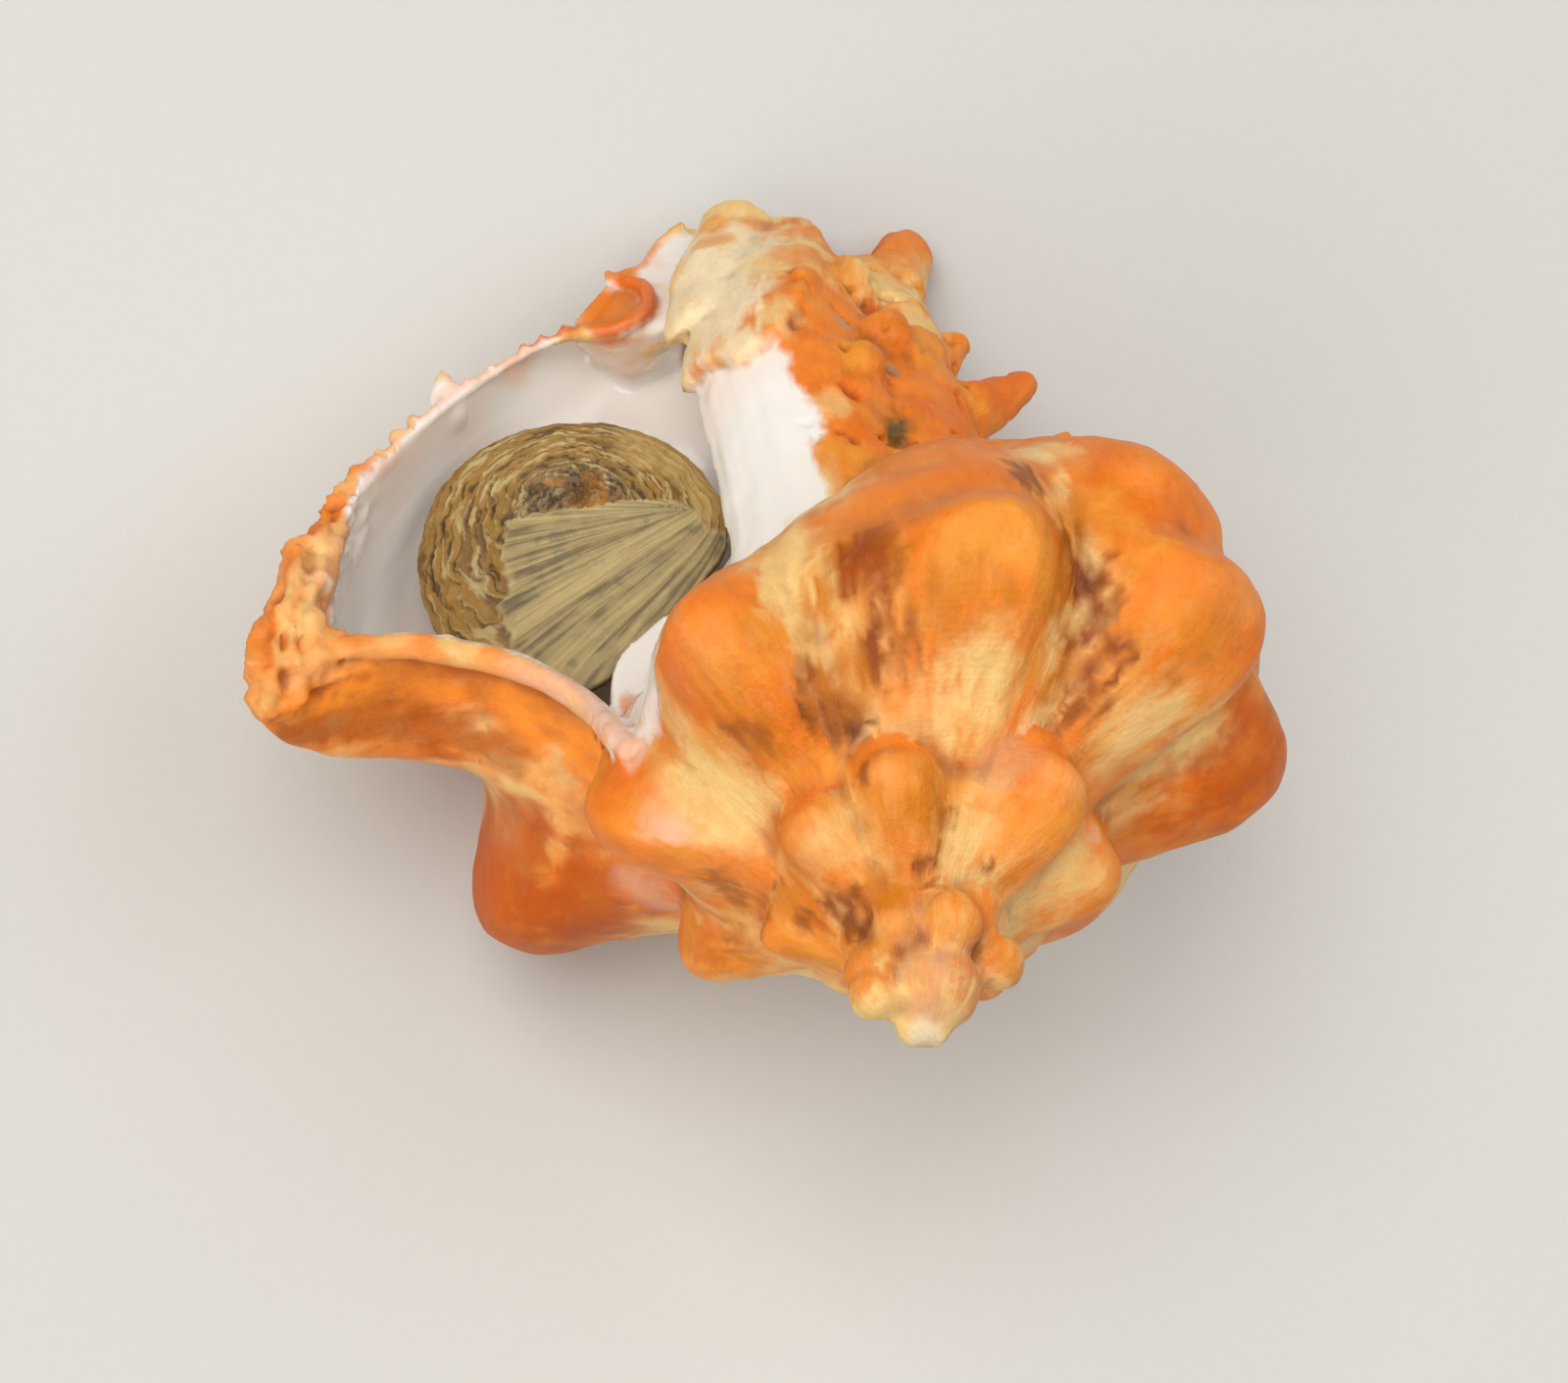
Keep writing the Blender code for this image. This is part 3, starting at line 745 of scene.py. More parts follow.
@dataclass
class Frills:
    """The folded margin of the outer lip, its teeth, and the torn end of the lip by the canal.

    Folds, rims, curls and the great tooth are rods: places in mm, then a radius at each.

    Attributes:
        folds: ridges along the lip's outer margin.
        fold_wave: how far in mm they wander.
        rims: thickened edges of the ramp and of the lip's far side.
        knuckles: small balls on the rims, with their radii.
        teeth: places of the small teeth.
        tooth_reach, tooth_root, tooth_splay: how far in mm a small tooth stands out of the rim,
            into it, and away from the lip's middle.
        lip_middle: drop in mm of the lip's middle.
        spike_root: two rings that carry the spike on the lip's inner wall.
        spike_front, spike_thick: where the spike's face is, and how thick it is, in mm.
        spike: (x, z) outline of the flat spike at the lip's end.
        curls: the spike's raised dish and left edge, and the torn edge of the canal's wall.
    """

    folds: tuple = (
        (((42.8, -5.4, -53.6), (44.4, -6.4, -50), (44.8, -6.8, -46.4), (45.8, -6.8, -42.6),
          (46.2, -6.4, -39.6), (47.4, -5.4, -36.8)), (0.5, 0.8, 0.7, 0.9, 0.7, 0.9)),
        (((42.4, -5.4, -52), (43.3, -6, -48.2), (43.2, -6.2, -45), (44, -6.2, -41.8),
          (45, -6, -38.4)), (0.6, 0.8, 0.8, 0.9, 0.7)))
    fold_wave: float = 0.85
    rims: tuple = (
        (((40.6, -5.3, -39.3), (36.6, -4.9, -39.6), (32.8, -3.9, -39.3), (28.5, -3.3, -38),
          (25.3, -2.9, -35.9), (22.7, -3, -33), (20.9, -4.6, -28.6), (19.3, -6.6, -23.6)),
         (0.8, 1.1, 1.2, 1.2, 1.1, 1.1, 1.1, 0.9)),
        (((43.2, -5.6, -55.2), (40.4, -5.4, -59.2), (37.6, -5.1, -63), (34.2, -4.8, -67.4),
          (30, -4.4, -72.2), (26, -4, -75.7), (23.4, -3.8, -77.2), (21.4, -3.6, -78.4)),
         (0.5, 0.6, 0.5, 0.45, 0.5, 0.45, 0.45, 0.4)))
    knuckles: tuple = (
        ((39.2, -4.9, -39.8), 1.1), ((36.7, -4.5, -40.1), 0.9), ((33.4, -4, -39.8), 1.2),
        ((30.2, -3.6, -38.9), 0.9), ((38.9, -5.2, -61.2), 0.8), ((37.2, -5, -64.6), 0.7))
    teeth: tuple = (
        (41.3, -5.4, -58.2), (40.1, -5.3, -59.9), (38.4, -5.2, -62.4), (36.6, -5, -64.8),
        (35.6, -5, -66.3), (31, -4.6, -71), (29.1, -4.4, -72.9), (26.4, -4.2, -75.5),
        (24.8, -4.1, -76.5), (22.9, -4, -77.6))
    tooth_reach: float = 0.7
    tooth_root: float = 0.6
    tooth_splay: float = 0.5
    tooth_radii: tuple = (0.6, 0.5, 0.25)
    lip_middle: float = 55.0
    great_tooth: tuple = (((33.9, 0.4, -71.4), (33.2, -2.2, -70.4), (33.1, -4, -70.3),
                           (33.3, -4.8, -71.6), (33.5, -5.1, -72.8)), (1.2, 1.5, 1.3, 0.7, 0.15))
    spike: tuple = ((22.3, -77.6), (20.8, -80.8), (19.1, -84.3), (19.4, -86.1), (18, -86.7),
                    (16.5, -87.1), (14.9, -90.4), (13.5, -92.2), (12.3, -92.9), (11.5, -90.8),
                    (11, -88.5), (11.8, -85), (12.6, -81.5), (13.2, -78.4), (16, -78.4),
                    (19.5, -77.8))
    spike_root: tuple = (
        ((22.2, -3.2, -77.6), (19.8, -3.2, -77.3), (17.8, -3.2, -77.4), (15.6, -3.2, -77.7),
         (13, -3.2, -78.2), (12.4, -3, -83), (18.6, -3, -83)),
        ((21, 1.6, -79.6), (19.4, 3, -78.8), (18, 3.8, -78.2), (16, 3.8, -78.8),
         (13.6, 3.6, -80), (13.4, 3.8, -83), (18, 3.6, -83)))
    spike_front: float = -3.4
    spike_thick: float = 1.1
    curls: tuple = (
        (((19, -3.6, -85.2), (17.5, -3.9, -84.1), (16.1, -4.1, -82.7), (15.8, -4.2, -80.4),
          (16.6, -4.2, -78.5), (18.4, -4.1, -77.4), (20.4, -3.9, -77.4), (22, -3.9, -77.6)),
         (0.4, 0.5, 0.6, 0.5, 0.6, 0.5, 0.6, 0.4)),
        (((22, -3.6, -78.9), (20.6, -3.6, -81.4), (19.2, -3.6, -84.2), (19.3, -3.6, -86)),
         (0.4, 0.5, 0.4, 0.4)),
        (((12.8, -7.5, -72.6), (12.9, -7.7, -74.8), (12.1, -7.7, -77.8), (11.4, -7.6, -81),
          (10.9, -7.2, -84.3), (9.9, -6.6, -88)), (0.4, 0.5, 0.4, 0.5, 0.4, 0.5)))

    def waved(self, path: tuple) -> list:
        """A path put out of line.

        Args:
            path: places in mm.

        Returns:
            Three times as many places.
        """
        line = spline(path, 3 * len(path))
        shift = np.column_stack([cloud(line, 2.6, seed) for seed in (201, 202, 203)])
        return (line + self.fold_wave * shift).tolist()

    def build(self) -> list:
        """The closed pieces, ready to be melted onto the shell."""
        pieces = [rod("fold", self.waved(path), radii) for path, radii in self.folds]
        pieces += [rod("rim", path, radii) for path, radii in self.rims + self.curls]
        pieces += [ball("knuckle", centre, radius) for centre, radius in self.knuckles]
        pieces.append(rod("lip_tooth", *self.great_tooth))
        pieces.append(loft("spike_root", np.array(self.spike_root)))
        pieces.append(loft("spike", np.array([
            [(x, self.spike_front + depth, z) for x, z in self.spike]
            for depth in (0.0, self.spike_thick)])))
        for x, y, z in self.teeth:
            root, tip = Vector((x, y + self.tooth_root, z)), Vector((x, y - self.tooth_reach, z))
            away = Vector((x, 0, z + self.lip_middle)).normalized() * self.tooth_splay
            pieces.append(rod("tooth", [root, (root + tip) / 2 + away / 2, tip + away],
                              self.tooth_radii))
        return pieces


# ------------------------------------------------------------------ colours and finishes
class Tint(Enum):
    """The colours of the shell, as they look in plain light."""

    CREAM = (0.92, 0.76, 0.48)
    PALE = (0.93, 0.84, 0.68)
    GOLD = (0.89, 0.57, 0.18)
    ORANGE = (0.90, 0.50, 0.15)
    DEEP_ORANGE = (0.85, 0.40, 0.03)
    RED_ORANGE = (0.82, 0.37, 0.10)
    # Orange darkened as painted shade, for lower sides that get less light.
    BURNT = (0.72, 0.31, 0.0)
    OCHRE = (0.78, 0.45, 0.05)
    BROWN = (0.52, 0.23, 0.0)
    PURPLE_BROWN = (0.60, 0.25, 0.07)
    PEACH = (0.93, 0.64, 0.36)
    PINK = (0.93, 0.70, 0.57)
    # Lighter orange used as painted light on the ramp's face under the lip's rim.
    AMBER = (0.97, 0.58, 0.17)
    ROSE = (0.80, 0.56, 0.40)
    PORCELAIN = (0.93, 0.905, 0.87)
    GREY = (0.66, 0.60, 0.48)
    OLIVE = (0.36, 0.29, 0.12)

    def linear(self) -> Array:
        """The colour in scene-linear values."""
        return linear(self.value)


def laid(under: Array, tint: Enum, hidden: Array) -> Array:
    """A tint laid over colours.

    Args:
        under: rows of scene-linear red, green and blue.
        tint: the colour on top.
        hidden: how much of each row it hides, 0 to 1.

    Returns:
        The new rows.
    """
    return under * (1 - hidden[:, None]) + tint.linear() * hidden[:, None]


def coated(ground: Enum, coats: tuple) -> Array:
    """Tints laid one after another over a plain ground.

    Args:
        ground: the tint at the bottom.
        coats: (tint, how much of each row it hides) pairs, from the bottom up.

    Returns:
        Rows of scene-linear red, green and blue.
    """
    colour = np.tile(ground.linear(), (len(coats[0][1]), 1))
    for tint, hidden in coats:
        colour = laid(colour, tint, hidden)
    return colour


@dataclass(frozen=True)
class Dab:
    """One patch of colour on the shell.

    Attributes:
        tint: its colour.
        at: its middle in mm.
        reach: its half-width in mm.
        strength: how much of the colour beneath it hides, up to 1.
    """

    tint: Tint
    at: Point
    reach: float
    strength: float = 0.8


@dataclass(frozen=True)
class Stroke:
    """A line of colour along a path of places in mm."""

    tint: Tint
    path: tuple
    half_width: float
    strength: float = 0.8


@dataclass
class ShellPaint:
    """How colour is laid over the shell: ground, patches, the porcelain inside, then the rim.

    Attributes:
        dabs: patches at places, laid under the porcelain.
        rim_dabs: patches laid over it.
        strokes: lines of colour, laid last.
        speckle: how ragged the patches' edges are.
        streak_shift: how fast the streaks change along the coiling axis.
        blush: how pink the porcelain gets.
        dark: the tints that are laid thinly, in flecks.
        stains: patches placed by growth, laid first.
    """

    dabs: tuple = ()
    rim_dabs: tuple = ()
    strokes: tuple = ()
    speckle: float = 1.25
    streak_shift: float = 0.22
    blush: float = 0.25
    dark: tuple = (Tint.BROWN, Tint.PURPLE_BROWN, Tint.OCHRE, Tint.DEEP_ORANGE)
    stains: tuple = ()

    def along_growth(self, places: Array, fine: float, seed: int) -> Array:
        """Noise drawn out into streaks that follow the growth lines.

        Args:
            places: the vertices in mm.
            fine: how many streaks there are on the way round.
            seed: which noise.

        Returns:
            One value for each place.
        """
        radius = np.maximum(np.hypot(places[:, 0], places[:, 1]), LEAST_RADIUS)
        ring = places[:, :2] / radius[:, None] * fine
        return cloud(np.column_stack([ring, (radius - places[:, 2]) * self.streak_shift]), 1.0, seed, 3)

    def ground(self, places: Array, rise: Array) -> Array:
        """Cream between the ribs, orange on them, with gold, deep orange and ochre clouds.

        Args:
            places: the vertices in mm.
            rise: how far each stands up a rib.

        Returns:
            Scene-linear colours.
        """
        broad = cloud(places, 8.0, 11, 4)
        streak = self.along_growth(places, 14.0, 5)
        size = np.linalg.norm(places, axis=1)
        by_rib = 0.35 + 0.65 * ease(size, 14.0, 30.0)
        warm = ease(by_rib * rise + 0.55 * broad + 0.22 * streak + 0.25 * (1 - by_rib), -0.05, 0.50)
        return coated(Tint.CREAM, (
            (Tint.ORANGE, warm),
            (Tint.GOLD, 0.75 * ease(cloud(places, 4.0, 19, 4) + 0.3 * streak, -0.05, 0.35) * warm),
            (Tint.DEEP_ORANGE, 0.65 * ease(cloud(places, 4.6, 23, 4) + 0.4 * streak + 0.15 * warm,
                                           0.12, 0.55)),
            (Tint.OCHRE, 0.55 * ease(cloud(places, 2.6, 29, 4) + 0.3 * streak, 0.30, 0.62))))

    def lay(self, places: Array, rise: Array, inside: Array, angle: Array,
            share: Array) -> tuple:
        """Colour and gloss of every place.

        Args:
            places: the vertices in mm.
            rise: how far each stands up a rib.
            inside: 1 on the porcelain lining, 0 outside.
            angle: where each lies along the growth.
            share: where each lies down the half-section.

        Returns:
            The colours, and the gloss from 0 to 1.
        """
        colour = self.ground(places, rise)
        ragged = 0.6 * cloud(places, 3.0, 41, 4) + 0.4 * self.along_growth(places, 34.0, 7)
        lining = inside.copy()
        growth = self.along_growth(places, 40.0, 61)
        flecks = cloud(places, 1.0, 67, 3)
        torn = 0.45 * ragged + 0.45 * growth + 0.3 * flecks
        for stain in self.stains:
            away = np.hypot((angle - stain.angle) / stain.wide, (share - stain.share) / stain.tall)
            near = ease(1.15 - away + self.speckle * torn * ease(away, 2.4, 0.3), 0.0,
                        0.7 if stain.tint in self.dark else 1.1)
            if stain.tint in self.dark:
                near = near * (0.5 + 0.5 * ease(torn, -0.30, 0.15))
            colour = laid(colour, stain.tint, stain.strength * near)
        for dab in self.dabs:
            near = self.cover(dab, places, ragged)
            if dab.tint is Tint.PORCELAIN:
                lining = np.maximum(lining, near)
            else:
                colour = laid(colour, dab.tint, near)
        blush = self.blush * ease(cloud(places, 8.0, 77, 2), -0.2, 0.7)[:, None]
        porcelain = Tint.PORCELAIN.linear() * (1 - blush) + Tint.PINK.linear() * 1.08 * blush
        colour = colour * (1 - lining[:, None]) + porcelain * lining[:, None]
        for dab in self.rim_dabs:
            near = self.cover(dab, places, ragged)
            colour = laid(colour, dab.tint, near)
            lining = lining * (1 - 0.6 * near)
        for stroke in self.strokes:
            line = spline(stroke.path, 12 * len(stroke.path))
            away, _ = nearest(line, places)
            near = ease(1.3 - away / stroke.half_width + 1.5 * torn, 0.0, 0.7)
            colour = laid(colour, stroke.tint, stroke.strength * near)
        return colour, lining

    def cover(self, dab: Dab, places: Array, ragged: Array) -> Array:
        """How much of the colour a dab hides.

        Args:
            dab: the dab.
            places: the vertices in mm.
            ragged: noise that frays its edge.

        Returns:
            A share from 0 to 1 for each place.
        """
        away = np.linalg.norm(places - np.array(dab.at), axis=1) / dab.reach
        near = ease(1.2 - away + self.speckle * ragged * ease(away, 2.4, 0.3), 0.0, 0.6)
        if dab.tint in self.dark:
            near = near * (0.25 + 0.75 * ease(ragged + 0.5 * cloud(places, 1.0, 43, 3), -0.35, 0.25))
        return dab.strength * near


@dataclass(frozen=True)
class Stain:
    """One patch of colour on the whorl, placed by growth.

    Attributes:
        tint: its colour.
        angle: where it lies along the growth.
        share: where it lies down the half-section, from the suture at 0 to the canal at 1.
        wide: its half-width in degrees.
        tall: its half-height as a share of the half-section.
        strength: how much it hides.
    """

    tint: Tint
    angle: float
    share: float
    wide: float
    tall: float
    strength: float


WHORL_STAINS = (
    (Tint.GOLD, ((620, 0.25, 70, 0.2, 0.6), (720, 0.25, 30, 0.25, 0.6), (980, 0.2, 110, 0.3, 0.6))),
    (Tint.ORANGE, (
        (306, 0.32, 14, 0.14, 0.95), (297, 0.14, 6, 0.14, 0.8), (262, 0.42, 12, 0.08, 0.85),
        (275, 0.42, 9, 0.07, 0.6), (256, 0.31, 6, 0.06, 0.5), (206, 0.35, 18, 0.17, 0.95),
        (215, 0.47, 12, 0.1, 0.8), (582, 0.32, 13, 0.12, 0.8), (632, 0.33, 9, 0.09, 0.9),
        (722, 0.25, 8, 0.12, 0.6), (935, 0.25, 14, 0.16, 0.9), (990, 0.3, 16, 0.12, 0.8),
        (1050, 0.25, 20, 0.15, 0.8), (348, 0.27, 9, 0.1, 0.85), (396, 0.3, 8, 0.1, 0.7),
        (4, 0.24, 14, 0.16, 0.9))),
    (Tint.GOLD, (
        # The first gold stain, on the boss at 252 degrees, is partly painted highlight over its
        # gold-orange.
        (252, 0.27, 10, 0.09, 0.5), (290, 0.4, 8, 0.05, 0.5), (345, 0.22, 5, 0.05, 0.7),
        (572, 0.25, 10, 0.12, 0.5), (655, 0.3, 10, 0.06, 0.5))),
    (Tint.CREAM, (
        (286, 0.28, 5.5, 0.3, 0.9), (276, 0.11, 5, 0.04, 0.8), (250, 0.08, 18, 0.09, 0.95),
        (250, 0.14, 11, 0.06, 0.85), (205, 0.12, 13, 0.09, 0.9), (192, 0.2, 8, 0.12, 0.7),
        (320, 0.1, 14, 0.08, 0.8), (598, 0.14, 7, 0.07, 0.8), (660, 0.21, 10, 0.07, 0.6),
        (545, 0.2, 16, 0.14, 0.8), (400, 0.22, 9, 0.1, 0.7), (176, 0.33, 7, 0.05, 0.5))),
    (Tint.DEEP_ORANGE, (
        (297, 0.12, 5, 0.1, 0.55), (221, 0.37, 4, 0.05, 0.6), (216, 0.42, 4, 0.04, 0.6),
        (210, 0.4, 5, 0.04, 0.3), (345, 0.31, 6, 0.05, 0.6), (312, 0.24, 8, 0.08, 0.6))),
    # Painted shade: these darken the lower, far-from-light sides of the body whorl's ribs and of a
    # spire rib.
    (Tint.BURNT, (
        (172, 0.26, 16, 0.22, 0.8), (34, 0.34, 18, 0.16, 0.7), (8, 0.08, 20, 0.07, 0.5),
        (387, 0.18, 9, 0.08, 0.6))),
    (Tint.PINK, (
        (343, 0.185, 5, 0.05, 0.8), (368, 0.28, 8, 0.08, 0.7), (545, 0.3, 5, 0.05, 0.4),
        (228, 0.05, 4, 0.03, 0.5))),
    (Tint.OCHRE, (
        (273, 0.23, 13, 0.13, 0.9), (256, 0.2, 9, 0.06, 0.7), (231, 0.25, 7, 0.13, 0.95),
        (223, 0.15, 7, 0.08, 0.9), (305, 0.14, 8, 0.07, 0.8), (702, 0.22, 10, 0.12, 0.7),
        (573, 0.05, 8, 0.04, 0.7), (285, 0.11, 7, 0.07, 0.7), (212, 0.24, 8, 0.05, 0.5),
        (242, 0.36, 6, 0.08, 0.5), (262, 0.36, 8, 0.06, 0.4), (300, 0.06, 8, 0.05, 0.5),
        (330, 0.24, 10, 0.05, 0.5), (620, 0.18, 14, 0.1, 0.7), (568, 0.12, 8, 0.06, 0.5),
        (690, 0.2, 9, 0.1, 0.6), (722, 0.15, 9, 0.06, 0.5), (286, 0.18, 4, 0.08, 0.4),
        (283, 0.46, 8, 0.03, 0.4))),
    (Tint.BROWN, (
        (271, 0.25, 5, 0.1, 0.65), (273, 0.15, 4, 0.05, 0.9), (288, 0.14, 4, 0.05, 0.95),
        (281, 0.075, 6, 0.045, 0.95), (234, 0.3, 3, 0.05, 0.7), (228.5, 0.26, 3, 0.05, 0.95),
        (225.5, 0.2, 3, 0.05, 0.9), (221, 0.155, 3.5, 0.045, 0.95), (218, 0.11, 3.5, 0.04, 0.8),
        (240, 0.43, 4, 0.05, 0.9), (276, 0.27, 5, 0.05, 0.5), (266, 0.16, 4, 0.05, 0.6),
        (622, 0.07, 11, 0.05, 0.9), (615, 0.02, 9, 0.03, 0.9), (641, 0.31, 3, 0.05, 0.9),
        (680, 0.1, 13, 0.05, 0.9), (704, 0.16, 7, 0.05, 0.8), (702, 0.3, 7, 0.05, 0.8),
        (284, 0.095, 6, 0.055, 0.8), (722, 0.3, 10, 0.03, 0.5), (612, 0.17, 8, 0.04, 0.5),
        (360, 0.1, 14, 0.04, 0.6), (584, 0.08, 3, 0.02, 0.8), (700, 0.12, 5, 0.05, 0.6),
        (385, 0.12, 9, 0.05, 0.5))),
    (Tint.PURPLE_BROWN, (
        (273, 0.26, 3.4, 0.07, 0.7), (269, 0.23, 3, 0.06, 0.6), (267, 0.32, 3, 0.04, 0.4))),
    (Tint.OLIVE, ((280, 0.085, 5, 0.035, 0.35), (286, 0.08, 5, 0.04, 0.4), (291, 0.12, 4, 0.05, 0.35))),
    (Tint.OCHRE, ((900, 0.1, 60, 0.1, 0.6), (1020, 0.1, 50, 0.1, 0.5))),
    (Tint.ORANGE, (
        (940, 0.25, 40, 0.12, 0.7), (1010, 0.3, 30, 0.12, 0.7), (1080, 0.25, 30, 0.2, 0.6),
        (660, 0.36, 12, 0.06, 0.7), (225, 0.33, 4.5, 0.05, 0.8), (221, 0.24, 3, 0.045, 0.7),
        (277, 0.21, 2.5, 0.03, 0.6))),
    (Tint.PEACH, (
        (578, 0.3, 8, 0.09, 0.55), (634, 0.3, 8, 0.09, 0.5), (668, 0.28, 6, 0.07, 0.4),
        (303, 0.24, 5, 0.05, 0.3), (208, 0.3, 8, 0.07, 0.3))))

OUTER_PATCHES = (
    (Tint.CREAM, (
        (4.8, -11.9, -67.4, 2.8, 0.8), (4.6, -8, -76, 2.6, 0.7), (3, -7.4, -82, 2.6, 0.7),
        (6.4, -10.4, -66, 2.4, 0.7), (1.4, -10.4, -57.2, 1.8, 0.6))),
    (Tint.ORANGE, (
        (38, -1, -39.3, 7, 0.9), (28.9, 0, -38, 5, 0.9), (23.1, 2.1, -32.7, 3, 0.8),
        (45.9, 0.3, -37.3, 5, 0.9), (47, -4, -45, 6, 0.9), (44, -4.5, -53, 5, 0.9),
        (0.4, -10.4, -64, 3.8, 0.9), (8.3, -7.3, -85.2, 2.4, 0.6), (-1, -8, -72, 4, 0.7),
        (2.4, -9.6, -78, 3, 0.6), (-14.4, -1, -70.6, 4, 0.8), (-9.6, 2, -80, 3, 0.7),
        (-6.6, 3, -92, 3, 0.8), (-5.6, -0.9, -87.9, 4, 0.6))),
    (Tint.DEEP_ORANGE, (
        (34, 2, -38.6, 5, 0.5), (3, -10.6, -67, 2.4, 0.6), (-1.5, -9.8, -60, 2.4, 0.6),
        (-6, -6, -58, 4, 0.6))),
    # Painted shade: shaded orange on the lowest lobe of the body whorl.
    (Tint.BURNT, ((30.9, 15.9, -33, 9, 0.8), (24.5, 13.7, -27, 7, 0.8))),
    (Tint.RED_ORANGE, ((-13.1, -0.7, -70.2, 3.4, 0.6),)),
    (Tint.OCHRE, (
        (-2.2, -7.3, -68.8, 2.4, 0.5), (-1.1, -9.3, -63.7, 2.4, 0.6), (9.2, -9.6, -66.1, 1.4, 0.5),
        (-3.6, -7.6, -57, 3, 0.6))),
    (Tint.BROWN, ((-2.2, -7.3, -68.8, 1.6, 0.5), (-6, -9, -51, 2.4, 0.5))),
    (Tint.ROSE, (
        (-1.2, -2, -3.6, 4.4, 0.7), (-0.7, -2.8, 1.1, 2, 0.6), (-2, -4.7, -1.4, 2, 0.6),
        (-8.2, -10.8, -14.5, 2.4, 0.6))),
    (Tint.BROWN, (
        (4.1, -4.3, -7.6, 2, 0.9), (-1.8, -7.4, -9.6, 1.8, 0.6), (4.5, -14.7, -17.3, 2.4, 0.8),
        (10.7, -13, -16.9, 2.4, 0.6))),
    (Tint.OCHRE, ((2.3, -4.7, -3.2, 1.8, 0.7), (1.1, -6.6, -8, 2, 0.9), (3.2, -15.9, -19, 2.6, 0.7))),
    (Tint.ORANGE, ((3.5, -4.7, -0.9, 2.2, 0.8), (5.3, -6.3, -8.9, 1.2, 0.7))),
    (Tint.PEACH, ((6.9, -7.7, -9.4, 1.6, 0.6), (-0.2, -4.3, -0.5, 1.6, 0.6))),
    (Tint.PINK, ((-1.2, -1, -0.6, 2.4, 0.6), (19.5, 9.6, -25.1, 3.4, 0.5))),
    (Tint.PALE, (
        (-0.2, -0.8, 2, 1.6, 0.9), (8.6, -11.3, -64.6, 2.8, 0.9), (9.4, -9.2, -70.2, 5.4, 0.95),
        (11, -8, -76, 5.4, 0.95), (8.6, -7.4, -83, 5.4, 0.9))),
    (Tint.GOLD, (
        (9.8, -7.6, -83, 2, 0.7), (9.6, -7, -87, 2, 0.8), (9.4, -9.6, -65.8, 1.6, 0.7),
        (0.6, -7.6, -77.6, 3, 0.6), (-0.6, -9.4, -64, 1.8, 0.7), (-4.6, -3.5, -84.7, 2.4, 0.5))),
    (Tint.GREY, ((-0.5, -9.2, -69.1, 1, 0.6), (-3.4, -6.3, -66.3, 1.2, 0.6))),
    (Tint.OLIVE, ((-3.5, -6.4, -56.8, 1.7, 1), (-3.5, -7.4, -56, 1.2, 0.9))),
    (Tint.PORCELAIN, (
        (17.6, -9.1, -29.2, 4.5, 1), (16, -10.5, -35, 6, 1), (19.5, -2.8, -36, 3, 1),
        (13.8, -2.9, -86, 3.6, 1), (12.6, -3.2, -89.4, 2, 1), (15.6, -2.8, -80.6, 3.6, 1),
        (19, -3, -79, 3, 1), (33.2, -4.2, -71, 2, 1), (18.7, -8, -29.7, 3.4, 1), (12, -8, -47, 7, 1),
        (14.5, -7, -41, 7, 1), (19.2, -6.9, -25.2, 2, 0.8), (33.6, -4.6, -70, 2.2, 1),
        (17.6, -8, -31, 6, 1), (16.5, -9, -27, 3.4, 1), (19, -6, -32, 3, 1), (18.6, 0, -77.8, 3.4, 1),
        (15.2, 1, -78.6, 3.2, 1), (21.6, -1, -78.2, 2.4, 1))))
RIM_PATCHES = (
    (Tint.GOLD, (
        (43.6, -6.2, -43.6, 3.4, 0.5), (43.2, -6.2, -48.6, 2.8, 0.5), (44, -6.2, -39.6, 3.4, 0.5),
        (42.4, -5.8, -53, 1.8, 0.8), (41.4, -5.6, -40.6, 2.2, 0.8))),
    (Tint.PEACH, (
        (43.6, -6.2, -43.6, 4, 0.8), (43.2, -6.2, -48.6, 3.2, 0.8), (44, -6.2, -39.6, 4, 0.8),
        # Painted shadow: the last two peach dabs give the wedge below the spike's dish the tan of the
        # shade under it.
        (19.4, -1.2, -77.6, 3, 0.35), (16.4, -0.6, -78, 2.4, 0.25))),
    (Tint.ORANGE, (
        (46.6, -7, -38.5, 2.6, 0.6), (47, -7, -43, 2.2, 0.6), (46, -7, -48, 2, 0.6),
        (44.2, -6.4, -52.5, 1.8, 0.7), (42.6, -6, -56.5, 1.6, 0.8), (40.6, -5.8, -60.5, 1.3, 0.8),
        (38.6, -5.4, -63.8, 1.1, 0.8), (36.2, -5.2, -67.6, 0.9, 0.8), (30, -4.4, -74, 0.9, 0.8),
        (27, -4.2, -76.4, 0.9, 0.8), (24, -3.9, -78, 0.9, 0.8), (18.4, -3.8, -81, 3.2, 0.95),
        (19.8, -3.8, -79, 2.4, 0.9), (20.4, -3.6, -82, 1.6, 0.9), (18.4, -3.6, -85.4, 1.8, 0.9),
        (40, -5, -38.6, 2.4, 0.9), (35, -4.6, -38.6, 2.2, 0.9), (30, -4, -37.8, 2, 0.8))),
    (Tint.GOLD, ((17.6, -3.8, -80.6, 1.2, 0.7),)),
    (Tint.CREAM, (
        (43.4, -7, -43, 1.6, 0.7), (44.2, -7.4, -40.4, 1.4, 0.7), (43.4, -6.8, -49, 1.4, 0.7),
        (37.4, -5.8, -40, 1.2, 0.6), (33, -4.9, -39.8, 1, 0.6))),
    (Tint.PINK, (
        (28.1, -3.3, -38, 1, 0.6), (23.7, -3, -35, 1.3, 0.7), (22, -2.3, -32.4, 1.3, 0.7),
        (19.2, -6.9, -23.2, 1.3, 0.7), (38, -5.2, -62, 2.4, 0.4), (28, -4, -76, 3, 0.5))))

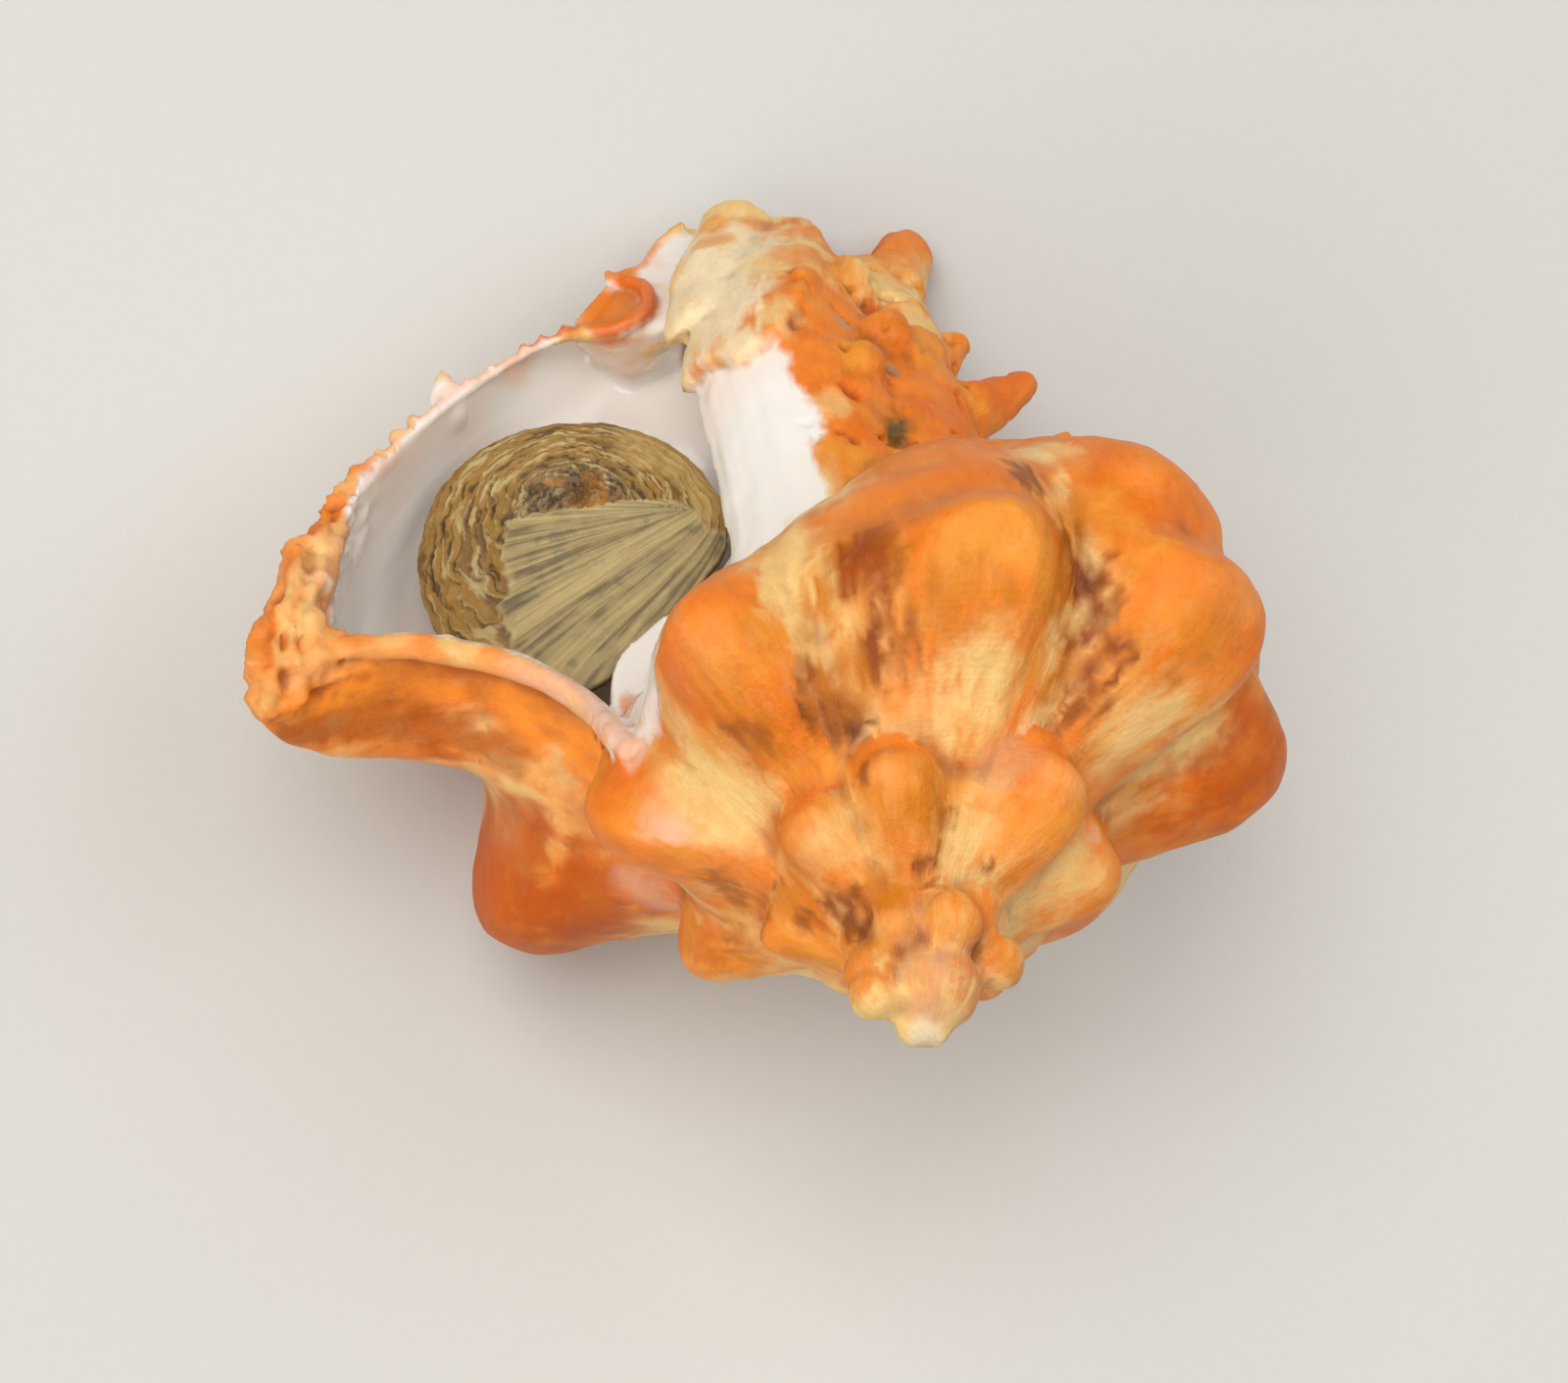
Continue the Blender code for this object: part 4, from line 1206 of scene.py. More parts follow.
RIM_STROKES = (
    Stroke(Tint.PEACH, ((46.4, -4.6, -37), (43.4, -4.8, -38), (40, -4.8, -38.8), (36.6, -4.4, -39.2),
        (32.8, -3.6, -39), (28.5, -3, -37.6)), 1.5, 0.7),
    # Partly painted shade: brown along the ramp's lower side, which faces away from the light, over its
    # own reddish-brown.
    Stroke(Tint.BROWN, ((46.1, 1.3, -37.3), (41.6, 2.1, -38.5), (35.5, 3.2, -38.9),
        (29.5, 4.7, -36.2)), 2.2, 0.5),
    # Painted light: a lighter orange along the ramp's face just under the lip's rim, over its own
    # orange.
    Stroke(Tint.AMBER, ((45.6, -1.9, -37.2), (42.5, -2.2, -38.7), (39.5, -1.8, -39.4),
        (36.4, -1.6, -39.6), (32.7, -0.8, -39.5), (29, 0.3, -37.8), (26.1, 1.5, -35.9),
        (23.1, 2.1, -32.7)), 2, 0.8),
    Stroke(Tint.DEEP_ORANGE, ((43.4, -6.6, -52.5), (45, -7.2, -48.4), (46, -7.4, -44.6),
        (46.6, -7.2, -41), (46.8, -6.2, -37.6)), 0.7, 0.6),
    Stroke(Tint.CREAM, ((42.3, -5.8, -52.6), (43.9, -7.4, -48.6), (45, -7.9, -44.6), (45.7, -7.7, -41),
        (45.9, -6.6, -37.6)), 0.6, 0.5),
    Stroke(Tint.CREAM, ((43.1, -7.4, -46.6), (44, -7.9, -42.8), (44.3, -7.6, -40),
        (44.3, -6.6, -37.5)), 0.6, 0.5),
    Stroke(Tint.CREAM, ((42.5, -7, -43.6), (42.8, -7.2, -41), (42.5, -6.7, -39.2)), 0.45, 0.7),
    Stroke(Tint.PINK, ((28.5, -3.6, -37.8), (25.3, -3.4, -35.7), (22.7, -3.6, -32.8),
        (20.9, -5.2, -28.6), (19.3, -7.2, -23.6)), 1, 0.7),
    Stroke(Tint.PINK, ((38.2, -5.6, -63.6), (35, -5.2, -67.6), (30.4, -4.8, -72.4), (26.6, -4.4, -76),
        (22.6, -4, -78.4)), 0.7, 0.5),
    Stroke(Tint.DEEP_ORANGE, ((17.5, -4.3, -84.1), (16.1, -4.5, -82.7), (15.8, -4.6, -80.4),
        (16.6, -4.6, -78.5), (18.4, -4.5, -77.4), (20.4, -4.3, -77.4)), 0.9, 0.9),
    Stroke(Tint.ORANGE, ((18, -3.8, -86.6), (16.5, -3.8, -87.2), (14.9, -3.8, -90.2),
        (13.6, -3.8, -92.2), (12.4, -3.8, -92.9)), 0.9, 0.8),
    Stroke(Tint.RED_ORANGE, ((27.2, -4.6, -75.6), (24.4, -4.4, -77), (22.4, -4.2, -77.8)), 0.5, 0.7))


def dabs(table: tuple) -> tuple:
    """The dabs of a table of (tint, rows of x, y, z, reach and strength)."""
    return tuple(Dab(tint, row[:3], *row[3:]) for tint, rows in table for row in rows)


def stained(table: tuple) -> tuple:
    """The stains of a table of (tint, rows of angle, share, half-width, half-height, strength)."""
    return tuple(Stain(tint, *row) for tint, rows in table for row in rows)


class NodeKit:
    """Short ways to wire up a node tree."""

    def __init__(self, tree: Tree) -> None:
        """Keep the tree that nodes are added to."""
        self.tree = tree

    def add(self, kind: str, **settings: object) -> bpy.types.Node:
        """New node.

        Args:
            kind: the node's kind.
            settings: its settings by name.

        Returns:
            The node.
        """
        node = self.tree.nodes.new(kind)
        for key, value in settings.items():
            setattr(node, key, value)
        return node

    def wire(self, source: object, target: object) -> None:
        """Link a source socket to a target socket, or set the target to a plain value."""
        if isinstance(source, Socket):
            self.tree.links.new(source, target)
        else:
            target.default_value = source

    def math(self, operation: str, a: object, b: object = 0.0, clamp: bool = False) -> Socket:
        """Result of one sum.

        Args:
            operation: which sum.
            a: its first value or socket.
            b: its second value or socket.
            clamp: whether the result is kept from 0 to 1.

        Returns:
            The socket with the result.
        """
        node = self.add("ShaderNodeMath", operation=operation, use_clamp=clamp)
        self.wire(a, node.inputs[0])
        if len(node.inputs) > 1:
            self.wire(b, node.inputs[1])
        return node.outputs[0]

    def plus(self, a: object, b: object, clamp: bool = False) -> Socket:
        """Two values added."""
        return self.math("ADD", a, b, clamp)

    def less(self, a: object, b: object) -> Socket:
        """The second value taken from the first."""
        return self.math("SUBTRACT", a, b)

    def times(self, a: object, b: object) -> Socket:
        """Two values multiplied."""
        return self.math("MULTIPLY", a, b)

    def ramp(self, value: object, low: float, high: float, start: float = 0.0,
             end: float = 1.0) -> Socket:
        """Value mapped smoothly onto a range.

        Args:
            value: the value or socket.
            low: value that gives the start.
            high: value that gives the end.
            start: start of the range.
            end: end of the range.

        Returns:
            The socket with the result.
        """
        node = self.add("ShaderNodeMapRange", interpolation_type="SMOOTHSTEP")
        for index, item in enumerate((value, low, high, start, end)):
            self.wire(item, node.inputs[index])
        return node.outputs[0]

    def noise(self, vector: object, scale: float, detail: float = 2.0,
              rough: float = 0.5) -> Socket:
        """Noise.

        Args:
            vector: socket of the place.
            scale: cells to a unit.
            detail: finer layers.
            rough: how strong they are.

        Returns:
            The socket with the value.
        """
        node = self.add("ShaderNodeTexNoise")
        for label, item in (("Vector", vector), ("Scale", scale), ("Detail", detail),
                            ("Roughness", rough)):
            self.wire(item, node.inputs[label])
        return node.outputs["Fac"]

    def placed_group(self, tree: Tree, **inputs: object) -> list:
        """A node group put in this tree.

        Args:
            tree: the group.
            inputs: values or sockets for its inputs, by name.

        Returns:
            Its output sockets.
        """
        node = self.add("ShaderNodeGroup")
        node.node_tree = tree
        for label, item in inputs.items():
            self.wire(item, node.inputs[label])
        return list(node.outputs)

    def bump(self, height: object, distance: float, strength: float, target: Socket) -> None:
        """Wire a height to a shader's normal.

        Args:
            height: socket of the height, from 0 to 1.
            distance: what 1 stands for, in mm.
            strength: how strongly it tilts the surface.
            target: the shader's socket.
        """
        node = self.add("ShaderNodeBump")
        node.inputs["Distance"].default_value = distance * MM
        node.inputs["Strength"].default_value = strength
        self.wire(height, node.inputs["Height"])
        self.wire(node.outputs[0], target)

    def mix(self, factor: object, a: object, b: object, how: str = "MIX") -> Socket:
        """Two colours mixed.

        Args:
            factor: share of the second.
            a: the first.
            b: the second.
            how: the blend.

        Returns:
            The socket with the result.
        """
        node = self.add("ShaderNodeMix", data_type="RGBA", blend_type=how)
        self.wire(factor, node.inputs["Factor"])
        self.wire(a, node.inputs[6])
        self.wire(b, node.inputs[7])
        return node.outputs[2]


def group(name: str, inputs: tuple, outputs: tuple) -> tuple:
    """New shader node group with named sockets.

    Args:
        name: the group's name.
        inputs: (name, socket kind) pairs.
        outputs: (name, socket kind) pairs.

    Returns:
        The group's tree, a kit for it, and its input and output nodes.
    """
    tree = bpy.data.node_groups.new(name, "ShaderNodeTree")
    for label, kind in inputs:
        tree.interface.new_socket(label, in_out="INPUT", socket_type=kind)
    for label, kind in outputs:
        tree.interface.new_socket(label, in_out="OUTPUT", socket_type=kind)
    kit = NodeKit(tree)
    return tree, kit, kit.add("NodeGroupInput"), kit.add("NodeGroupOutput")


FLOAT, VECTOR, COLOUR = "NodeSocketFloat", "NodeSocketVector", "NodeSocketColor"
SPIRAL_LINES = 34.0


def new_material(name: str) -> tuple:
    """New material.

    Args:
        name: its name.
    """
    material = bpy.data.materials.new(name)
    material.use_nodes = True
    kit = NodeKit(material.node_tree)
    place = kit.add("ShaderNodeTexCoord").outputs["Object"]
    return material, kit, material.node_tree.nodes["Principled BSDF"], place


def painted(kit: NodeKit, name: str, output: str) -> Socket:
    """Socket of a value that is stored on the vertices."""
    return kit.add("ShaderNodeAttribute", attribute_name=name).outputs[output]


def grain_group() -> Tree:
    """Fine mottling: a colour made lighter and darker in soft flecks, and a height for them."""
    tree, kit, start, end = group(
        "fine_grain", (("Vector", VECTOR), ("Color", COLOUR), ("Amount", FLOAT)),
        (("Color", COLOUR), ("Height", FLOAT)))
    broad = kit.noise(start.outputs["Vector"], 0.55, 4.0, 0.6)
    fine = kit.noise(start.outputs["Vector"], 2.6, 4.0, 0.65)
    both = kit.plus(kit.times(broad, 0.6), kit.times(fine, 0.4))
    shift = kit.times(kit.less(both, 0.5), start.outputs["Amount"])
    scaled = kit.add("ShaderNodeVectorMath", operation="SCALE")
    kit.wire(start.outputs["Color"], scaled.inputs[0])
    kit.wire(kit.plus(shift, 1.0), scaled.inputs["Scale"])
    kit.wire(scaled.outputs[0], end.inputs["Color"])
    kit.wire(both, end.inputs["Height"])
    return tree


def growth_group(per_whorl: float) -> Tree:
    """Growth lines across the whorl and spiral lines along it, in the growing frame.

    Args:
        per_whorl: how many times larger a whorl is than the one before it.

    Returns:
        The group's tree.
    """
    tree, kit, start, end = group(
        "growth_marks", (("Vector", VECTOR),), (("Axial", FLOAT), ("Spiral", FLOAT)))
    parts = kit.add("ShaderNodeSeparateXYZ")
    kit.wire(start.outputs["Vector"], parts.inputs[0])
    x, y, z = parts.outputs
    around = kit.math("SQRT", kit.plus(kit.times(x, x), kit.times(y, y)))
    around = kit.math("MAXIMUM", around, LEAST_RADIUS)
    ring = kit.add("ShaderNodeCombineXYZ")
    kit.wire(kit.math("DIVIDE", x, around), ring.inputs[0])
    kit.wire(kit.math("DIVIDE", y, around), ring.inputs[1])
    kit.wire(kit.times(kit.less(around, z), 0.016), ring.inputs[2])
    coarse = kit.noise(ring.outputs[0], 16.0, 3.0, 0.6)
    fine = kit.noise(ring.outputs[0], 48.0, 3.0, 0.7)
    kit.wire(kit.plus(kit.times(coarse, 0.6), kit.times(fine, 0.4)), end.inputs["Axial"])
    away = kit.math("SQRT", kit.plus(kit.times(around, around), kit.times(z, z)))
    growth = math.log(per_whorl) / (2 * math.pi)
    spiral = kit.plus(kit.math("LOGARITHM", away, math.e),
                      kit.times(kit.math("ARCTAN2", y, x), growth))
    wobble = kit.times(kit.noise(start.outputs["Vector"], 0.25, 2.0), 3.0)
    wave = kit.math("SINE", kit.plus(kit.times(spiral, SPIRAL_LINES / growth), wobble))
    kit.wire(kit.plus(kit.times(wave, 0.5), 0.5), end.inputs["Spiral"])
    return tree


@dataclass(frozen=True)
class LimeFinish:
    """Chalky coloured lime outside, glossy porcelain inside.

    Attributes:
        rough_flecks: how much the flecks change the skin's roughness.
        mottle, least_mottle: strength of the flecks on the skin and on the porcelain.
        dark_lines, dark_tint, pale_lines: strength and tint of the growth lines.
        glow, glow_reach, glow_scale: weight, reach by colour, and metres, of light in the lime.
        line_height, line_strength: depth in mm of the growth lines, and how much they tilt.
    """

    outside_rough: float = 0.46
    inside_rough: float = 0.17
    rough_flecks: float = 0.35
    mottle: float = 0.55
    least_mottle: float = 0.03
    dark_lines: float = 0.30
    dark_tint: tuple = (0.90, 0.74, 0.62, 1)
    pale_lines: float = 0.08
    glaze: float = 0.35
    glaze_rough: float = 0.12
    shine: float = 0.22
    glow: float = 0.10
    glow_reach: Point = (1.0, 0.55, 0.35)
    glow_scale: float = 0.0012
    line_height: float = 0.20
    line_strength: float = 0.8

    def make(self, rest_turn: Array, origin: Array, grain: Tree,
             marks: Tree) -> bpy.types.Material:
        """The shell's material.

        Args:
            rest_turn: the growing frame's rotation.
            origin: its origin in mm.
            grain: the group that mottles.
            marks: the group that draws growth lines.

        Returns:
            The material.
        """
        material, kit, shader, place = new_material("shell_lime_and_porcelain")
        turn_back = kit.add("ShaderNodeMapping", vector_type="POINT")
        back = Matrix(rest_turn.T.tolist())
        turn_back.inputs["Location"].default_value = -(back @ Vector(origin))
        turn_back.inputs["Rotation"].default_value = back.to_euler()
        turn_back.inputs["Scale"].default_value = (1 / MM,) * 3
        kit.wire(place, turn_back.inputs["Vector"])
        growing = turn_back.outputs[0]
        gloss = painted(kit, "gloss", "Fac")
        matt = kit.less(1.0, gloss)
        axial, spiral = kit.placed_group(marks, Vector=growing)
        amount = kit.plus(kit.times(matt, self.mottle), self.least_mottle)
        colour, flecks = kit.placed_group(grain, Vector=growing, Color=painted(kit, "paint", "Color"),
                                          Amount=amount)
        streak = kit.times(kit.ramp(axial, 0.52, 0.70), kit.times(matt, self.dark_lines))
        lined = kit.mix(streak, colour, kit.mix(1.0, colour, self.dark_tint, "MULTIPLY"))
        pale = kit.times(kit.ramp(axial, 0.50, 0.30), kit.times(matt, self.pale_lines))
        kit.wire(kit.mix(pale, lined, (*Tint.PALE.linear(), 1)), shader.inputs["Base Color"])
        rough = kit.ramp(gloss, 0.0, 1.0, self.outside_rough, self.inside_rough)
        vary = kit.times(kit.less(flecks, 0.5), kit.times(matt, self.rough_flecks))
        kit.wire(kit.plus(rough, vary, clamp=True), shader.inputs["Roughness"])
        kit.wire(kit.times(gloss, self.glaze), shader.inputs["Coat Weight"])
        for label, value in (("Coat Roughness", self.glaze_rough), ("Specular IOR Level", self.shine),
                             ("Subsurface Weight", self.glow), ("Subsurface Radius", self.glow_reach),
                             ("Subsurface Scale", self.glow_scale)):
            shader.inputs[label].default_value = value
        relief = kit.plus(kit.times(axial, 1.3), kit.plus(kit.times(spiral, 0.05),
                                                          kit.times(flecks, 0.9)))
        kit.bump(kit.times(relief, kit.plus(kit.times(matt, 0.95), 0.05)), self.line_height,
                 self.line_strength, shader.inputs["Normal"])
        return material


@dataclass(frozen=True)
class HornFinish:
    """Dull, flaking brown horn.

    Attributes:
        rough, rough_flecks, rough_fibres: roughness, and how flecks and fibres change it.
        mottle, fleck_scale: strength of the flecks, and their noise cells to a mm.
        fibre_height, fibre_strength: height in mm of the fibres, and how much they tilt.
    """

    rough: float = 0.55
    rough_flecks: float = 0.5
    rough_fibres: float = 0.12
    mottle: float = 0.5
    fleck_scale: float = 1.6
    shine: float = 0.45
    fibre_height: float = 0.08
    fibre_strength: float = 0.9

    def make(self, grain: Tree) -> bpy.types.Material:
        """The operculum's material.

        Args:
            grain: the group that mottles.

        Returns:
            The material.
        """
        material, kit, shader, place = new_material("operculum_horn")
        sized = kit.add("ShaderNodeMapping", vector_type="POINT")
        sized.inputs["Scale"].default_value = (self.fleck_scale / MM,) * 3
        kit.wire(place, sized.inputs["Vector"])
        fibre = painted(kit, "fibre", "Fac")
        colour, flecks = kit.placed_group(grain, Vector=sized.outputs[0], Amount=self.mottle,
                                          Color=painted(kit, "paint", "Color"))
        kit.wire(colour, shader.inputs["Base Color"])
        vary = kit.plus(kit.times(kit.less(flecks, 0.5), self.rough_flecks),
                        kit.times(fibre, self.rough_fibres))
        kit.wire(kit.plus(vary, self.rough, clamp=True), shader.inputs["Roughness"])
        shader.inputs["Specular IOR Level"].default_value = self.shine
        kit.bump(kit.plus(flecks, fibre), self.fibre_height, self.fibre_strength,
                 shader.inputs["Normal"])
        return material


@dataclass(frozen=True)
class FloorFinish:
    """Pale matt paper.

    Attributes:
        darker: the darker fibres' share of its colour.
        fibre_scale: noise cells to a metre.
    """

    colour: Rgb = (0.80, 0.79, 0.77)
    darker: float = 0.985
    fibre_scale: float = 900.0
    rough: float = 0.9

    def make(self) -> bpy.types.Material:
        """The floor's material."""
        material, kit, shader, place = new_material("floor_paper")
        fibre = kit.noise(place, self.fibre_scale, 3.0)
        low, high = linear(tuple(self.darker * part for part in self.colour)), linear(self.colour)
        kit.wire(kit.mix(fibre, (*low, 1), (*high, 1)), shader.inputs["Base Color"])
        shader.inputs["Roughness"].default_value = self.rough
        return material


# ------------------------------------------------------------------ the pieces
@dataclass
class Shell:
    """The grown shell: whorl, pillar, canal and frilled lip melted into one skin.

    Heights, depths and sizes are in mm.

    Attributes:
        voxel: size of the skin's squares.
        lumps, small_lumps, canal_lumps, pits: height of its swellings, and depth of its pits.
        ledge: (degree, drop) places of the torn edge over the pillar.
        glaze_border: (drop, degree) places where the pillar's glaze ends.
        ruffle, ruffle_ends: height of the lip's folds, and the drops between which they are.
        crevice_shade, crevice_rounds: how much painted shade darkens narrow hollows, and how wide they
            may be.
        facing: how much the way that a face looks tells whether it is on the lining.
    """

    whorl: Whorl = field(default_factory=Whorl)
    growths: Growths = field(default_factory=Growths)
    openings: Openings = field(default_factory=Openings)
    frills: Frills = field(default_factory=Frills)
    paint: ShellPaint = field(default_factory=lambda: ShellPaint(
        dabs(OUTER_PATCHES), dabs(RIM_PATCHES), RIM_STROKES, stains=stained(WHORL_STAINS)))
    voxel: float = 0.38
    most_faces: int = 192000
    lumps: float = 0.42
    small_lumps: float = 0.16
    canal_lumps: float = 0.55
    ledge: tuple = ((-84, 76.0), (-74, 69.0), (-68, 65.4), (-60, 63.6), (-52, 63.2), (-44, 64.6),
                    (-36, 66.0), (-24, 66.8))
    ledge_height: float = 1.3
    ledge_tear: float = 0.7
    glaze_border: tuple = ((43.0, -74.0), (50.0, -74.0), (55.0, -76.0), (60.0, -68.0), (65.0, -64.0),
                           (70.0, -70.0))
    line_relief: float = 0.12
    ruffle: float = 0.55
    pits: float = 0.9
    ruffle_ends: tuple = (33.0, 64.0)
    crevice_shade: float = 0.55
    crevice_rounds: int = 14
    facing: float = 1.6

    def body(self) -> Thing:
        """The skin, with the hollow cut and the frills on."""
        shell = joined([self.whorl.solid()] + self.growths.build(), "murex_shell")
        melt(shell, self.voxel * 1.15, 2)
        for tool in self.openings.build(self.whorl):
            cut(shell, tool)
        self.raise_ledge(shell)
        shell = joined([shell] + self.frills.build(), "murex_shell")
        melt(shell, self.voxel, 2)
        return shell

    def below_ledge(self, places: Array) -> tuple:
        """Degrees round the axis, and how far in mm beyond the torn edge, each place lies."""
        turn = np.degrees(np.arctan2(places[:, 1], places[:, 0]))
        edge = np.interp(turn, *zip(*self.ledge)) + self.ledge_tear * cloud(places, 2.2, 301, 3)
        return turn, -places[:, 2] - edge

    def raise_ledge(self, shell: Thing) -> None:
        """Lift the canal's wall over the pillar, so that it ends in a torn overhanging edge.

        Args:
            shell: the shell in the growing frame.
        """
        places, out = corners(shell), outward(shell)
        turn, beyond = self.below_ledge(places)
        radius = np.maximum(np.hypot(places[:, 0], places[:, 1]), 0.1)
        faces = (out[:, :2] * places[:, :2]).sum(1) / radius
        lift = (ease(beyond, -0.2, 0.2) * (0.35 + 0.65 * ease(beyond, 12.0, 1.0))
                * ease(turn, -86.0, -74.0) * ease(turn, -16.0, -24.0) * ease(faces, 0.2, 0.6))
        put_corners(shell, places + out * (self.ledge_height * lift)[:, None])

    def pillar_glaze(self, places: Array) -> Array:
        """Where the pillar is glazed, between the mouth and the old canals.

        Args:
            places: the vertices in mm.

        Returns:
            A share from 0 to 1 for each place.
        """
        turn, beyond = self.below_ledge(places)
        drop = -places[:, 2]
        border = np.interp(drop, *zip(*self.glaze_border)) + 9.0 * cloud(places, 2.6, 303, 4)
        return (ease(turn, border - 2.0, border + 2.0) * ease(turn, -8.0, -16.0)
                * ease(drop, 43.0, 45.0) * ease(beyond, 0.0, -0.8))

    def survey(self, shell: Thing) -> tuple:
        """Read the whorl's own marks at each vertex.

        Args:
            shell: the shell in the growing frame.

        Returns:
            How far each place stands up a rib, how surely it lies on the lining, from below 0
            on the outside up to 1 and more, its angle along the growth and its share of the
            half-section.
        """
        places, out = corners(shell), outward(shell)
        angle = self.whorl.angles()[::3]
        rise = self.whorl.rise(angle)[:, ::2]
        skin = self.whorl.swept(self.whorl.sections(angle), angle)[:, ::2]
        away_out, near = nearest(skin.reshape(-1, 3), places)
        steps = np.repeat(angle, rise.shape[1])
        shares = np.tile(np.linspace(0, 1, self.whorl.stations)[::2], len(angle))
        lining = self.whorl.inside(run_out=1.0, steps=620, stations=190)
        away_in, at = nearest(lining.reshape(-1, 3), places)
        middle = lining.mean(axis=1)[at // lining.shape[1]] - places
        lined = away_out - away_in + self.facing * (out * unit(middle)).sum(1)
        lined = ease(lined, 0.0, 0.9) * ease(away_in, 2.2, 1.4)
        return rise.ravel()[near], lined, steps[near], shares[near]

    def relief(self, shell: Thing, lining: Array) -> None:
        """Raise the low swellings, the growth lines and the folds of the outer skin.

        Args:
            shell: the shell in the growing frame.
            lining: 1 on the porcelain lining, 0 outside.
        """
        places, out = corners(shell), outward(shell)
        x, y, z = places.T
        radius = np.maximum(np.hypot(x, y), LEAST_RADIUS)
        outer = 1 - lining
        swell = (self.lumps * cloud(places, 7.0, 3, 2) + self.small_lumps * cloud(places, 2.4, 9, 2))
        back_of_canal = ease(z, -50.0, -57.0) * ease(x, 5.0, 2.0)
        swell += self.canal_lumps * back_of_canal * cloud(places, 2.8, 13, 3)
        swell -= self.pits * back_of_canal * ease(cloud(places, 1.9, 17, 2), 0.28, 0.60)
        ring = places[:, :2] / radius[:, None]
        lines = cloud(np.column_stack([ring * 22.0, z * 0.05]), 1.0, 31, 2)
        lines = lines * self.line_relief * np.minimum(radius / 20.0, 1.0)
        first, last = self.ruffle_ends
        margin = (ease(x, 38.5, 41.5) * ease(y, 1.0, -3.0)
                  * ease(-z, first, first + 3) * ease(-z, last, last - 6))
        along = places + 0.9 * np.column_stack([cloud(places, 2.2, seed) for seed in (211, 212, 213)])
        creases = (0.8 - 2.4 * np.abs(cloud(along * np.array((1.0, 1.0, 0.5)), 2.0, 47))
                   + 0.5 * (0.6 - 2.0 * np.abs(cloud(along, 1.1, 48))))
        put_corners(shell, places + out * ((swell + lines) * outer)[:, None]
                    + out * (self.ruffle * margin * creases)[:, None])

    def crevices(self, shell: Thing) -> Array:
        """How deep each vertex lies in a narrow hollow, where shade is painted.

        Args:
            shell: the shell.

        Returns:
            A share from 0 to 1 for each vertex.
        """
        places, out = corners(shell), outward(shell)
        ends = np.empty(len(shell.data.edges) * 2, int)
        shell.data.edges.foreach_get("vertices", ends)
        ends = ends.reshape(-1, 2)
        count = np.bincount(ends.ravel(), minlength=len(places))[:, None]
        smooth = places.copy()
        for _ in range(self.crevice_rounds):
            total = np.column_stack([
                np.bincount(ends[:, 0], smooth[ends[:, 1], k], len(places))
                + np.bincount(ends[:, 1], smooth[ends[:, 0], k], len(places)) for k in range(3)])
            smooth = total / np.maximum(count, 1)
        return ease(((smooth - places) * out).sum(1), 0.05, 0.40)

    def thin(self, shell: Thing) -> None:
        """Bring the mesh under its most faces."""
        shell.data.calc_loop_triangles()
        total = len(shell.data.loop_triangles)
        if total > self.most_faces:
            apply_modifier(shell, "DECIMATE", ratio=self.most_faces / total)

    def build(self) -> Thing:
        """The shell in the growing frame, shaped and coloured."""
        shell = self.body()
        self.relief(shell, self.survey(shell)[1])
        self.thin(shell)
        places = corners(shell)
        rise, lining, angle, share = self.survey(shell)
        lining = np.maximum(lining, self.pillar_glaze(places))
        colour, gloss = self.paint.lay(places, rise, lining, angle, share)
        # Painted shade: narrow hollows such as the sutures are darkened toward brown, outside the
        # porcelain.
        deep = (self.crevice_shade * self.crevices(shell) * (1 - gloss))[:, None]
        colour = colour * (1 - deep) + colour * Tint.BROWN.linear() * deep
        mark(shell, "paint", colour)
        mark(shell, "gloss", gloss)
        return shell


class HornTint(Enum):
    """The colours of the operculum, as they look in plain light."""

    GOLD = (0.60, 0.45, 0.20)
    GOLDEN = (0.72, 0.59, 0.35)
    AMBER = (0.68, 0.44, 0.14)
    TAN = (0.64, 0.56, 0.38)
    PALE = (0.75, 0.66, 0.45)
    GREY = (0.40, 0.36, 0.29)
    OLIVE = (0.42, 0.36, 0.23)
    UMBER = (0.47, 0.34, 0.19)
    MARGIN = (0.50, 0.36, 0.15)
    BACK = (0.40, 0.27, 0.12)
    DARK = (0.27, 0.20, 0.11)

    def linear(self) -> Array:
        """The colour in scene-linear values."""
        return linear(self.value)


